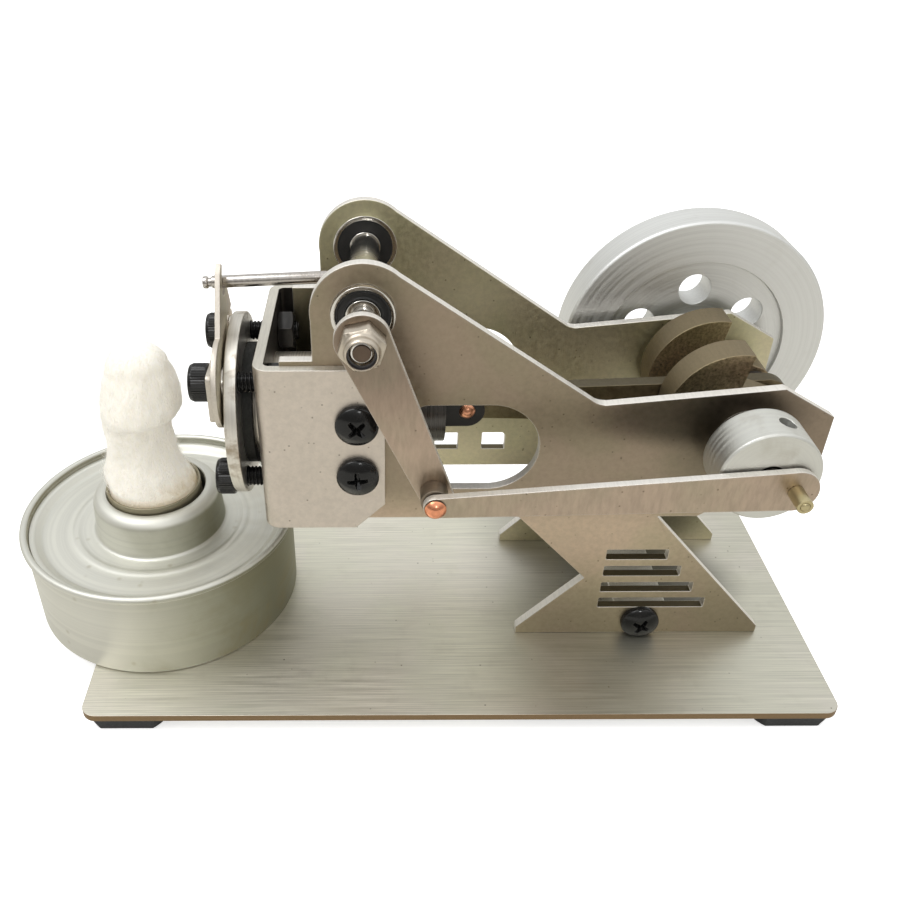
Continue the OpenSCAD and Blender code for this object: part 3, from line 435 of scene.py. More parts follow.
def effect_body(effect: Effect, graph: Graph, given: Any) -> tuple[Any, ...]:
    """Makes the inside of a shared effect.

    Args:
        effect: Which effect.
        graph: The tree that it is made in.
        given: The sockets of the group's input node.

    Returns:
        The sockets that the group gives out.
    """
    place = graph.coords()
    if effect is Effect.GRAIN:
        stretched = graph.vector("MULTIPLY", place, given["Stretch"])
        return graph.noise(stretched, 1.0, 4.0, 0.65), graph.noise(stretched, 2.3, 2.0, 0.5)
    if effect is Effect.TURNED:
        arm = graph.vector("SUBTRACT", place, given["Centre"])
        along = graph.dot(arm, given["Axis"])
        away = graph.vector("LENGTH", graph.vector("SUBTRACT", arm, graph.dim(given["Axis"], along)), None, 1)
        flat = graph.add("CombineXYZ", {0: graph.times(away, given["Density"]),
                                        1: graph.times(along, given["Density"])}).outputs[0]
        return graph.noise(flat, 1.0, 3.0, 0.6, "2D"), graph.noise(flat, 2.6, 1.0, 0.5, "2D"), away
    if effect is Effect.BLOTCH:
        cloud = graph.add("TexNoise", {"Vector": graph.vector("ADD", place, given["Shift"]), "Scale": given["Scale"],
                                       "Detail": 5.0, "Roughness": 0.6, "Distortion": 0.4}).outputs[0]
        return (graph.span(cloud, given["Low"], given["High"]),)
    if effect is Effect.SPECKS:
        cells = graph.add("TexVoronoi", {"Vector": place, "Scale": given["Scale"], "Randomness": 1.0})
        chosen = graph.add("SeparateColor", {0: cells.outputs["Color"]}).outputs[0]
        keep = graph.math("LESS_THAN", chosen, given["Share"])
        return (graph.times(keep, graph.span(cells.outputs["Distance"], given["Size"], 0.02)),)
    if effect is Effect.WEAR:
        soft = graph.add("Bevel", {"Radius": given["Reach"]}, samples=4).outputs[0]
        true = graph.add("NewGeometry").outputs["True Normal"]
        return (graph.span(graph.dot(soft, true), 0.995, 0.9),)
    normal = graph.vector("ABSOLUTE", graph.coords("Normal"))
    x, y, z = graph.parts(graph.vector("MULTIPLY", normal, given["Faces"]))
    most = graph.math("MAXIMUM", graph.math("MAXIMUM", x, y), z)
    streaks = graph.vector("MULTIPLY", place, (2600.0, 300.0, 2600.0))
    return graph.span(most, 0.75, 0.55), graph.noise(streaks, 1.0, 2.0, 0.6)


def effect_tree(effect: Effect) -> bpy.types.NodeTree:
    """Gives the node group of a shared effect and makes it the first time.

    Args:
        effect: Which effect.

    Returns:
        The node group.
    """
    found = bpy.data.node_groups.get(effect.value)
    if found is not None:
        return found
    tree = bpy.data.node_groups.new(effect.value, "ShaderNodeTree")
    inputs, outputs = SOCKETS[effect]
    for name, kind, value in inputs:
        socket = tree.interface.new_socket(name=name, in_out="INPUT", socket_type="NodeSocket" + kind)
        socket.default_value = value
    for name in outputs:
        tree.interface.new_socket(name=name, in_out="OUTPUT", socket_type="NodeSocketFloat")
    graph = Graph(tree)
    results = effect_body(effect, graph, graph.add("NodeGroupInput").outputs)
    graph.add("NodeGroupOutput", dict(enumerate(results)))
    return tree


@dataclass(frozen=True)
class Finish:
    """What every finish has: a name, a colour and a gloss."""

    name: str
    colour: Colour
    roughness: float = 0.4
    metallic: float = 1.0

    def material(self) -> bpy.types.Material:
        """Gives the finish's material and makes it the first time.

        Returns:
            The material.
        """
        found = bpy.data.materials.get(self.name)
        if found is not None:
            return found
        made = bpy.data.materials.new(self.name)
        made.use_nodes = True
        made.diffuse_color = opaque(self.colour)
        graph = Graph(made.node_tree)
        shader = graph.add("BsdfPrincipled", {"Metallic": self.metallic, "Roughness": self.roughness})
        graph.add("OutputMaterial", {0: shader.outputs[0]}, is_active_output=True)
        self.paint(graph, shader)
        return made

    def feed(self, graph: Graph, shader: bpy.types.Node, colour: Any, rough: Any, height: Any,
             depth: float) -> None:
        """Joins colour, roughness and bump to the shader.

        Args:
            graph: The material's tree.
            shader: The material's Principled node.
            colour: Colour socket.
            rough: Roughness socket.
            height: Bump height socket.
            depth: Depth of the bump in millimetres.
        """
        bump = graph.add("Bump", {"Height": height, "Distance": depth * MM, "Strength": 1.0}).outputs[0]
        for name, socket in (("Base Color", colour), ("Roughness", rough), ("Normal", bump)):
            graph.tree.links.new(socket, shader.inputs[name])

    def paint(self, graph: Graph, shader: bpy.types.Node) -> None:
        """Adds the finish's own colour, gloss and bump.

        Args:
            graph: The material's tree.
            shader: The material's Principled node.
        """
        raise NotImplementedError


@dataclass(frozen=True)
class SheetSteel(Finish):
    """Rolled sheet with grain, a warm and an olive tint, dark specks and light cut edges, with painted light and shade
    in bands, pools, hollows and on low ledges.
    """

    faces: Triple = (0.0, 1.0, 0.0)
    stretch: Triple = (900.0, 900.0, 900.0)
    warm: Colour = (1.06, 0.98, 0.92)
    olive: Colour = (0.9, 0.9, 0.74)
    cut: Colour = (0.88, 0.85, 0.8)
    cut_rough: float = 0.5
    grain: float = 0.2
    speck: float = 0.06
    depth: float = 0.004
    # Bands of painted light and shade along the sheet's own axes
    light_bands: tuple[Tone, ...] = ()
    # Soft round regions of painted shade on the faces, and on the cut edges in hollows
    shade_pools: tuple[Pool, ...] = ()
    hollow_shade: tuple[Pool, ...] = ()
    # Height below which upward cut ledges get painted shade
    ledge_shade_below: float = -1.0
    smudge: Colour = (0.2, 0.16, 0.1)
    rust: Colour = (0.09, 0.07, 0.045)
    # Colour of the painted shade on low upward ledges
    ledge_shade: Colour = (0.12, 0.1, 0.06)
    smudge_share: float = 0.07
    rust_share: float = 0.75
    wear_share: float = 0.45

    def paint_shade_pools(self, graph: Graph, colour: Any, shade_pools: tuple[Pool, ...]) -> Any:
        """Darkens a colour in soft round regions, as painted shade where shadow falls.

        Args:
            graph: The material's tree.
            colour: The colour so far.
            shade_pools: Middle, half sizes and factor of each region, in millimetres.

        Returns:
            The darkened colour.
        """
        for centre, half, factor in shade_pools:
            arm = graph.vector("SUBTRACT", graph.coords(), metres(centre))
            away = graph.vector("LENGTH", graph.vector("DIVIDE", arm, metres(half)), None, 1)
            colour = graph.dim(colour, graph.span(away, 1.25, 0.55, 1.0, factor))
        return colour

    def paint_light_bands(self, graph: Graph, colour: Any) -> Any:
        """Paints light and shade into the sheet along its own directions.

        Args:
            graph: The material's tree.
            colour: The colour so far.

        Returns:
            The shaded colour.
        """
        for axis, start, end, low, high in self.light_bands:
            place = graph.parts(graph.coords())[axis]
            colour = graph.dim(colour, graph.span(place, start * MM, end * MM, low, high))
        return colour

    def edges(self, graph: Graph, stripes: Any) -> Any:
        """Colours the cut edges, with painted shade on low ledges and in hollows.

        Args:
            graph: The material's tree.
            stripes: Streaks along the cut.

        Returns:
            The edges' colour.
        """
        # Painted shade on the cut edges in hollows, such as inside the window
        cut = self.paint_shade_pools(graph, graph.mix(stripes, shade(self.cut, 0.72), self.cut), self.hollow_shade)
        # Painted shade on upward cut ledges low on the sheet, as in the slots of the legs
        if self.ledge_shade_below > 0:
            up, height = graph.parts(graph.coords("Normal"))[2], graph.parts(graph.coords())[2]
            ledge = graph.times(graph.span(up, 0.85, 0.97), graph.math("LESS_THAN", height, self.ledge_shade_below * MM))
            cut = graph.mix(ledge, cut, self.ledge_shade)
        return cut

    def paint(self, graph: Graph, shader: bpy.types.Node) -> None:
        """Adds grain, tints, specks, cut edges, and painted light and shade.

        Args:
            graph: The material's tree.
            shader: The material's Principled node.
        """
        grain = graph.use(Effect.GRAIN, stretch=self.stretch).outputs
        edge = graph.use(Effect.CUT, faces=self.faces).outputs
        wide = graph.mask(Effect.BLOTCH, scale=38.0, low=0.38, high=0.62)
        smudge = graph.mask(Effect.BLOTCH, scale=170.0, low=0.5, high=0.75, shift=(0.3, 0.1, 0.7))
        speck = graph.mask(Effect.SPECKS, scale=1100.0, share=self.speck, size=0.3)
        wear = graph.mask(Effect.WEAR, reach=0.3 * MM)
        tint = graph.mix(wide, shade(self.colour, self.warm), shade(self.colour, self.olive))
        tone = graph.span(grain["Tone"], 0.25, 0.75, 1.0 - self.grain, 1.0 + self.grain)
        dirty = graph.over(graph.dim(tint, tone), smudge, self.smudge_share, self.smudge)
        # Painted light and shade: pools of shadow, then bands lighter or darker by place
        shaded = self.paint_light_bands(graph, self.paint_shade_pools(graph, dirty, self.shade_pools))
        dotted = graph.over(shaded, speck, self.rust_share, self.rust)
        cut = self.edges(graph, graph.span(edge["Tone"], 0.3, 0.7, 0.72, 1.05))
        worn = graph.over(graph.mix(edge["Mask"], dotted, cut), wear, self.wear_share, self.cut)
        rough = graph.math("ADD", graph.gloss(grain["Tone"], self.roughness - 0.05, self.roughness + 0.09),
                           graph.times(edge["Mask"], self.cut_rough - self.roughness))
        self.feed(graph, shader, worn, rough, grain["Height"], self.depth)


@dataclass(frozen=True)
class Turned(Finish):
    """Turned metal with fine rings round its own axis."""

    centre: Iterable[float] = (0.0, 0.0, 0.0)
    axis: Iterable[float] = (0.0, 1.0, 0.0)
    density: float = 3500.0
    rings: float = 0.12
    dirt: Colour = (0.25, 0.2, 0.12)
    dirt_share: float = 0.15
    dirt_low: float = 0.55
    dirt_scale: float = 120.0
    depth: float = 0.006
    # Radius of a dark ring of painted shade where a gap round a shaft lies, and its colour
    seam: float = 0.0
    seam_colour: Colour = (0.01, 0.01, 0.012)
    wear_share: float = 0.35

    def paint(self, graph: Graph, shader: bpy.types.Node) -> None:
        """Adds rings, a little dirt and bright edges.

        Args:
            graph: The material's tree.
            shader: The material's Principled node.
        """
        turned = graph.use(Effect.TURNED, centre=metres(self.centre), axis=tuple(self.axis),
                           density=self.density).outputs
        dirt = graph.mask(Effect.BLOTCH, scale=self.dirt_scale, low=self.dirt_low, high=self.dirt_low + 0.2)
        wear = graph.mask(Effect.WEAR, reach=0.3 * MM)
        ringed = graph.mix(graph.span(turned["Tone"], 0.25, 0.75), shade(self.colour, 1 - self.rings),
                           shade(self.colour, 1 + self.rings))
        # Painted shade: a dark ring at a radius, as in the gap round a shaft end
        if self.seam > 0:
            off = graph.math("ABSOLUTE", graph.math("SUBTRACT", turned["Away"], self.seam * MM))
            ringed = graph.mix(graph.span(off, 0.32 * MM, 0.14 * MM), ringed, self.seam_colour)
        dirty = graph.over(ringed, dirt, self.dirt_share, self.dirt)
        bright = graph.over(dirty, wear, self.wear_share, shade(self.colour, 1.25))
        rough = graph.gloss(turned["Tone"], self.roughness * 0.8, self.roughness * 1.25)
        self.feed(graph, shader, bright, rough, turned["Height"], self.depth)


@dataclass(frozen=True)
class Blackened(Finish):
    """Black oxide, rubber or gasket: dark, with a fine tooth and greyed edges."""

    tooth: float = 2500.0
    depth: float = 0.01
    rub: Colour = (0.14, 0.13, 0.12)
    rub_share: float = 0.35
    shine: float = 0.5
    tooth_share: float = 0.6
    dust_share: float = 0.12

    def paint(self, graph: Graph, shader: bpy.types.Node) -> None:
        """Adds a fine tooth, dusty patches and rubbed edges.

        Args:
            graph: The material's tree.
            shader: The material's Principled node.
        """
        shader.inputs["Specular IOR Level"].default_value = self.shine
        grain = graph.use(Effect.GRAIN, stretch=(self.tooth,) * 3).outputs
        dust = graph.mask(Effect.BLOTCH, scale=260.0, low=0.5, high=0.8)
        wear = graph.mask(Effect.WEAR, reach=0.25 * MM)
        base = graph.over(self.colour, grain["Tone"], self.tooth_share, shade(self.colour, 2.0))
        dusty = graph.over(base, dust, self.dust_share, self.rub)
        worn = graph.over(dusty, wear, self.rub_share, self.rub)
        rough = graph.gloss(grain["Tone"], self.roughness * 0.8, self.roughness * 1.3)
        self.feed(graph, shader, worn, rough, grain["Height"], self.depth)


@dataclass(frozen=True)
class Cotton(Finish):
    """Loose cotton: cream, soft, with a yellow stain low on the right, and a painted glow."""

    stain: Colour = (0.5, 0.37, 0.15)
    stain_share: float = 0.85
    depth: float = 0.25

    def paint(self, graph: Graph, shader: bpy.types.Node) -> None:
        """Adds fibres, soft shade, the stain and a painted glow.

        Args:
            graph: The material's tree.
            shader: The material's Principled node.
        """
        grain = graph.use(Effect.GRAIN, stretch=(1400.0, 1400.0, 500.0)).outputs
        cloud = graph.mask(Effect.BLOTCH, scale=130.0, low=0.42, high=0.66)
        x, _, z = graph.parts(graph.coords())
        right = graph.span(x, (LAMP.x - 2.0) * MM, (LAMP.x + 6.0) * MM)
        spread = graph.times(graph.times(graph.span(z, 38.5 * MM, 32.2 * MM), right),
                             graph.span(cloud, 0.0, 1.0, 0.35, 1.0))
        rim = graph.span(z, 35.2 * MM, 33.0 * MM)
        stain = graph.math("MAXIMUM", spread, graph.times(rim, 0.6))
        soft = graph.mix(graph.span(grain["Tone"], 0.3, 0.7), shade(self.colour, 0.93), self.colour)
        colour = graph.over(soft, stain, self.stain_share, self.stain)
        self.feed(graph, shader, colour, graph.gloss(grain["Tone"], 0.85, 1.0), grain["Height"], self.depth)
        # Painted glow: the cotton emits its own colour, so it looks brighter than the lamps make it; subsurface and
        # sheen soften it
        graph.tree.links.new(colour, shader.inputs["Emission Color"])
        glow_and_scatter = {"Emission Strength": 0.2, "Subsurface Weight": 0.35, "Subsurface Radius": (1.0, 0.85, 0.7),
                      "Subsurface Scale": 1.2 * MM, "Sheen Weight": 0.3, "Sheen Roughness": 0.6}
        for name, value in glow_and_scatter.items():
            shader.inputs[name].default_value = value


@dataclass(frozen=True)
class LampTin(Finish):
    """Drawn tin: satin, with olive and brown stains and dust in its dish."""

    centre: Iterable[float] = (0.0, 0.0, 0.0)
    stain: Colour = (0.3, 0.25, 0.13)
    dust: Colour = (0.34, 0.31, 0.2)
    bare: Colour = (0.9, 0.89, 0.85)
    stain_share: float = 0.6
    spot_share: float = 0.3
    wear_share: float = 0.5
    depth: float = 0.0015

    def darkened_right(self, graph: Graph, colour: Any, x: Any, normal_z: Any, cloud: Any) -> Any:
        """Darkens the upright walls towards the right, most in blue.

        Args:
            graph: The material's tree.
            colour: The colour so far.
            x: The surface's place from left to right.
            normal_z: How far the surface faces up.
            cloud: Soft patches that blur the change.

        Returns:
            The darkened colour.
        """
        upright = graph.span(graph.math("ABSOLUTE", normal_z), 0.6, 0.25)
        side = graph.span(graph.math("ADD", x, graph.times(cloud, 4 * MM)), -68 * MM, -30 * MM, 1.0, 0.38)
        right_factor = graph.add("Mix", {0: upright, 2: 1.0, 3: side}, data_type="FLOAT").outputs[0]
        tint = graph.add("CombineXYZ", {0: right_factor, 1: graph.times(right_factor, 0.98), 2: graph.math("POWER", right_factor, 1.25)})
        return graph.mix(1.0, colour, tint.outputs[0], "MULTIPLY")

    def paint(self, graph: Graph, shader: bpy.types.Node) -> None:
        """Adds faint rings, stains on the right and dust on the dish's left wall.

        Args:
            graph: The material's tree.
            shader: The material's Principled node.
        """
        turned = graph.use(Effect.TURNED, centre=metres(self.centre), axis=Axis.UP.value, density=900.0).outputs
        cloud = graph.mask(Effect.BLOTCH, scale=55.0, low=0.4, high=0.66)
        spots = graph.mask(Effect.SPECKS, scale=420.0, share=0.1, size=0.35)
        wear = graph.mask(Effect.WEAR, reach=0.5 * MM)
        place, normal = graph.coords(), graph.coords("Normal")
        x, _, z = graph.parts(place)
        ringed = graph.mix(graph.span(turned["Tone"], 0.3, 0.7), shade(self.colour, 0.95), shade(self.colour, 1.05))
        # Upright walls darker towards the right
        darkened_right = self.darkened_right(graph, ringed, x, graph.parts(normal)[2], cloud)
        low_share = graph.math("ADD", 0.35, graph.span(z, 19 * MM, 6 * MM))
        stain = graph.times(graph.times(graph.span(x, -62 * MM, -34 * MM), cloud), low_share)
        stained = graph.over(darkened_right, stain, self.stain_share, self.stain)
        arm = graph.vector("SUBTRACT", place, metres(self.centre))
        inward = graph.times(graph.span(graph.dot(normal, arm), -7 * MM, -20 * MM),
                             graph.span(x, -50 * MM, -70 * MM))
        dusty = graph.mix(graph.times(inward, graph.span(cloud, 0.0, 1.0, 0.6, 0.95)), stained, self.dust)
        spotted = graph.over(dusty, spots, self.spot_share, self.stain)
        worn = graph.over(spotted, wear, self.wear_share, self.bare)
        rough = graph.math("ADD", graph.gloss(turned["Tone"], self.roughness - 0.04, self.roughness + 0.06),
                           graph.times(inward, 0.3))
        self.feed(graph, shader, worn, rough, turned["Height"], self.depth)


def turned(name: str, colour: Colour, rough: float, centre: Vector, axis: Axis | Vector = Axis.BACK,
           **more: Any) -> Turned:
    """Gives a turned finish round an axis of the object."""
    return Turned(name, colour, rough, centre=centre, axis=heading(axis), **more)


# Places that several pieces share
ROCKER = spot(-18.3, 0.0, 80.5)
CRANK = spot(51.8, 0.0, 55.5)
CRANK_PIN = spot(60.663, 0.0, 53.937)
BORE = spot(0.0, 0.0, 53.5)
LAMP = spot(-63.7, 0.9, 0.0)
RIVET = spot(-5.94, 0.0, 50.66)
DRIVE = spot(55.841, 0.0, 54.029)
WRIST = spot(1.665, 0.0, 53.5)
# Radius of both shafts, and distances of faces from the mid-plane
SHAFT = 2.0
RACE = 3.0
BEARING_IN, BEARING_OUT = 13.5, 17.5
DISC_FRONT, DISC_BACK = -29.7, -20.9
WEIGHT_FRONT, WEIGHT_INNER, WEIGHT_REAR = -8.3, (-1.9, 5.7), 12.1

# Painted light on the base: bands across X darken it in front of the legs like their reflection, and a pool of painted
# shadow lies under the engine between the legs
BASE = SheetSteel("base_sheet", (0.735, 0.72, 0.655), 0.44, faces=Axis.UP.value, stretch=(45.0, 3800.0, 3800.0),
                  warm=(1.02, 1.0, 0.97), olive=(0.99, 0.99, 0.93), cut=(0.3, 0.21, 0.12), grain=0.17, speck=0.02,
                  light_bands=((0, 8.0, 30.0, 1.0, 0.58), (0, 32.0, 52.0, 1.0, 1.45), (0, 52.0, 80.0, 1.0, 0.98)),
                  shade_pools=((spot(46.0, 0.0, 5.0), (19.0, 15.0, 6.0), 0.3),))
# Painted light and shade on the front plate: bands change its brightness with height and darken it towards the disc,
# pools of painted shadow lie along the top near the disc, and the window's cut edges and low ledges get painted shade
PLATE = SheetSteel("plate_sheet", (0.33, 0.28, 0.222), 0.42, warm=(1.04, 0.98, 0.93), olive=(0.96, 0.96, 0.86),
                   light_bands=((2, 8.0, 32.0, 0.66, 1.0), (2, 34.0, 46.0, 1.7, 1.0), (0, 36.0, 56.0, 1.0, 0.85)),
                   shade_pools=((spot(42.0, -16.5, 60.0), (19.0, 4.0, 6.5), 0.42),
                          (spot(50.0, -16.5, 57.0), (14.0, 4.0, 14.0), 0.75)),
                   hollow_shade=((spot(2.1, -15.5, 53.1), (12.8, 4.0, 10.6), 0.25),), ledge_shade_below=36.0, grain=0.1)
# The rear plate is the front plate's steel, painted lighter and more olive to stand in for the light that falls on it;
# its pools are painted shade inside the bracket, between the legs and through the window, and its band darkens its
# rear face as painted shade
REAR_PAINTED_LIGHT = SheetSteel("rear_sheet_painted_light", (0.6, 0.565, 0.42), 0.45, warm=(1.02, 0.98, 0.93), olive=(0.97, 0.98, 0.87),
                  shade_pools=((spot(-27.0, 14.5, 60.0), (9.0, 6.0, 14.5), 0.1),
                         (spot(46.0, 14.5, 18.0), (20.0, 5.0, 18.0), 0.45),
                         (spot(2.0, 14.5, 46.0), (17.0, 5.0, 13.0), 0.8)),
                  light_bands=((1, 16.0, 17.3, 1.0, 0.58),), ledge_shade_below=36.0, grain=0.1)
# Bands of painted shade darken the bracket behind its front cheek, and lift the rear cheek's outer face back to near
# its own colour
BRACKET = SheetSteel("bracket_sheet", (0.62, 0.58, 0.53), 0.42, faces=(1.0, 1.0, 0.0), warm=(1.03, 0.99, 0.96),
                     olive=(1.01, 0.975, 0.94), cut=(0.72, 0.69, 0.62), grain=0.08,
                     light_bands=((1, -15.3, -14.6, 1.0, 0.14), (1, 18.4, 18.9, 1.0, 6.0)))
VALVE = SheetSteel("valve_sheet", (0.46, 0.41, 0.34), 0.38, faces=Axis.RIGHT.value, speck=0.16,
                   cut=(0.66, 0.61, 0.54))
LINK = SheetSteel("link_sheet", (0.44, 0.375, 0.31), 0.38, stretch=(1200.0, 900.0, 300.0), grain=0.12,
                  warm=(1.05, 0.98, 0.93), olive=(0.95, 0.95, 0.86))
# A band of painted shade darkens the lever towards its top
LEVER = SheetSteel("lever_sheet", (0.44, 0.37, 0.31), 0.38, stretch=(1200.0, 900.0, 300.0),
                   light_bands=((2, 76.0, 58.0, 0.62, 1.0),), grain=0.12, olive=(0.95, 0.95, 0.86))
BRONZE = SheetSteel("counterweight_bronze", (0.42, 0.35, 0.24), 0.42, stretch=(1900.0, 1900.0, 1900.0),
                    cut=(0.27, 0.22, 0.14), cut_rough=0.5, speck=0.1, grain=0.4)
ROD = SheetSteel("rod_sheet", (0.22, 0.19, 0.13), 0.5, cut=(0.15, 0.13, 0.09), cut_rough=0.6)
BLACK = Blackened("black_oxide", (0.006, 0.006, 0.006), 0.13, 0.0, depth=0.004, rub_share=0.15, shine=0.35)
DULL_BLACK = Blackened("dull_black_steel", (0.02, 0.019, 0.018), 0.38, 0.5, rub_share=0.5)
RUBBER = Blackened("foot_rubber", (0.018, 0.019, 0.021), 0.62, 0.0, rub=(0.06, 0.06, 0.06))
SEAL = Blackened("seal_rubber", (0.01, 0.01, 0.01), 0.45, 0.0, rub=(0.05, 0.05, 0.05), rub_share=0.2)
GASKET = Blackened("gasket", (0.006, 0.006, 0.004), 0.6, 0.0, rub_share=0.1)
NYLON = Blackened("nut_nylon", (0.02, 0.018, 0.02), 0.4, 0.0)
SHAFT_TIP = Blackened("shaft_tip", (0.1, 0.07, 0.05), 0.5, 0.6, rub=(0.4, 0.3, 0.22))
COTTON = Cotton("cotton_wick", (0.925, 0.89, 0.81), 0.95, 0.0)
TIN = LampTin("lamp_tin", (0.68, 0.69, 0.62), 0.52, centre=LAMP)
STAINED_TIN = turned("stained_tin", (0.36, 0.33, 0.24), 0.55, LAMP, Axis.UP, dirt_share=0.6)
COPPER = turned("copper_rivet", (0.82, 0.34, 0.19), 0.22, RIVET, dirt_share=0.3)
WRIST_COPPER = turned("wrist_copper", (0.75, 0.36, 0.22), 0.28, WRIST, dirt_share=0.3)
BRASS = turned("aged_brass", (0.42, 0.36, 0.2), 0.3, spot(55.84, 0.0, 54.03), dirt_share=0.35)
BLOCK = turned("block_alloy", (0.62, 0.6, 0.55), 0.35, Vector())
CYLINDER = turned("cylinder_steel", (0.85, 0.77, 0.66), 0.34, BORE, Axis.RIGHT, rings=0.2, dirt_share=0.35)
FLANGE = turned("flange_steel", (0.74, 0.71, 0.65), 0.4, BORE, Axis.RIGHT, rings=0.1, dirt_share=0.7,
                dirt=(0.22, 0.15, 0.07), dirt_low=0.52, dirt_scale=210.0)
STANDOFF = turned("standoff_steel", (0.6, 0.57, 0.52), 0.25, spot(0.0, -10.607, 64.107), Axis.RIGHT)
GRAPHITE = turned("piston_steel", (0.09, 0.085, 0.08), 0.3, BORE, Axis.RIGHT, density=2600.0, rings=0.25)
ROCKER_BRIGHT = turned("rocker_bright", (0.7, 0.68, 0.65), 0.14, ROCKER, rings=0.05, dirt_share=0.2)
SLEEVE = turned("sleeve_steel", (0.66, 0.64, 0.6), 0.18, ROCKER, density=2200.0)
NUT_STEEL = turned("nut_steel", (0.55, 0.49, 0.41), 0.32, ROCKER, density=1500.0, rings=0.06, dirt_share=0.3)
SPACER = turned("spacer_steel", (0.24, 0.2, 0.155), 0.45, RIVET, dirt_share=0.5)
# The disc's dark ring at radius 2.3 is painted shade round the crankshaft's end
DISC = turned("disc_alloy", (0.68, 0.68, 0.64), 0.48, CRANK, density=2600.0, rings=0.05, dirt_share=0.22,
              depth=0.003, seam=2.3)
CRANK_BRIGHT = turned("crank_bright", (0.68, 0.66, 0.63), 0.16, CRANK, rings=0.05)
WHEEL = turned("wheel_alloy", (0.76, 0.765, 0.75), 0.5, CRANK, density=2000.0, rings=0.07, dirt_share=0.1,
               depth=0.002)


class Workshop:
    """Makes pieces, dresses them and joins them to the moving bodies."""

    def __init__(self, loaded: dict[str, Any]) -> None:
        """Reads which body and which slot each node has.

        Args:
            loaded: The frame, with its record and its nodes.
        """
        record = loaded["record"]
        self.nodes: dict[str, bpy.types.Object] = loaded["nodes"]
        self.body = {n: b for b, members in record["behaviour"]["bodies"].items() for n in members}
        self.slot = {part["node"]: part["material_slot"] for part in record["subparts"]}

    def attach(self, piece: bpy.types.Object, node: str, stands_for: bool = True) -> None:
        """Joins a piece to the body of a node.

        Args:
            piece: The piece, already in place.
            node: The node whose body it takes.
            stands_for: Whether the piece is shown instead of the node.
        """
        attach(piece, self.body[node])
        if stands_for:
            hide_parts(node)
        LOG.info("%s rides on %s", piece.name, self.body[node])

    def show(self, node: str, forms: Form | Sequence[Form], places: Matrix | Sequence[Matrix], *finishes: Finish,
             extra: str | None = None, crease: float = 32.0) -> None:
        """Shows placed copies of forms made in millimetres.

        Args:
            node: The node that the piece stands for.
            forms: One form or several.
            places: One placement or several, for each form.
            finishes: The piece's finishes, in the order of its face marks.
            extra: Name of a piece that is shown besides the node's own.
            crease: Angle above which an edge stays sharp, in degrees.
        """
        whole = bmesh.new()
        for form in listed(forms):
            source = form if isinstance(form, bpy.types.Mesh) else to_data(form)
            for place in listed(places):
                copy = source.copy()
                copy.transform(place)
                whole.from_mesh(copy)
                bpy.data.meshes.remove(copy)
        data = to_data(whole, extra or "shown_" + node)
        data.transform(Matrix.Scale(MM, 4))
        for finish in finishes:
            data.materials.append(finish.material())
        data.shade_smooth()
        data.set_sharp_from_angle(angle=math.radians(crease))
        self.attach(add_object(data.name, data), node, extra is None)

    def dress(self, node: str, finish: Finish, edge: float = 0.12, segments: int = 2) -> None:
        """Shows a node's own shape with rounded edges.

        Args:
            node: The node.
            finish: Its finish.
            edge: Width of the rounding in millimetres.
            segments: Number of pieces of the rounding.
        """
        mesh = bmesh.new()
        mesh.from_mesh(self.nodes[node].data)
        bmesh.ops.remove_doubles(mesh, verts=mesh.verts, dist=MERGED)
        bmesh.ops.dissolve_limit(mesh, angle_limit=math.radians(NEARLY_FLAT), verts=mesh.verts, edges=mesh.edges)
        data = to_data(mesh, "shown_" + node)
        data.shade_smooth()
        data.materials.append(finish.material())
        piece = add_object(data.name, data)
        rounding = piece.modifiers.new("edges", "BEVEL")
        rounding.width, rounding.segments = edge * MM, segments
        rounding.limit_method, rounding.angle_limit = "ANGLE", math.radians(ROUNDED_ABOVE)
        rounding.use_clamp_overlap = False
        rounding.miter_outer = "MITER_ARC"
        weighted = piece.modifiers.new("normals", "WEIGHTED_NORMAL")
        weighted.mode, weighted.weight, weighted.keep_sharp = "FACE_AREA", FACE_WEIGHT, True
        self.attach(piece, node)


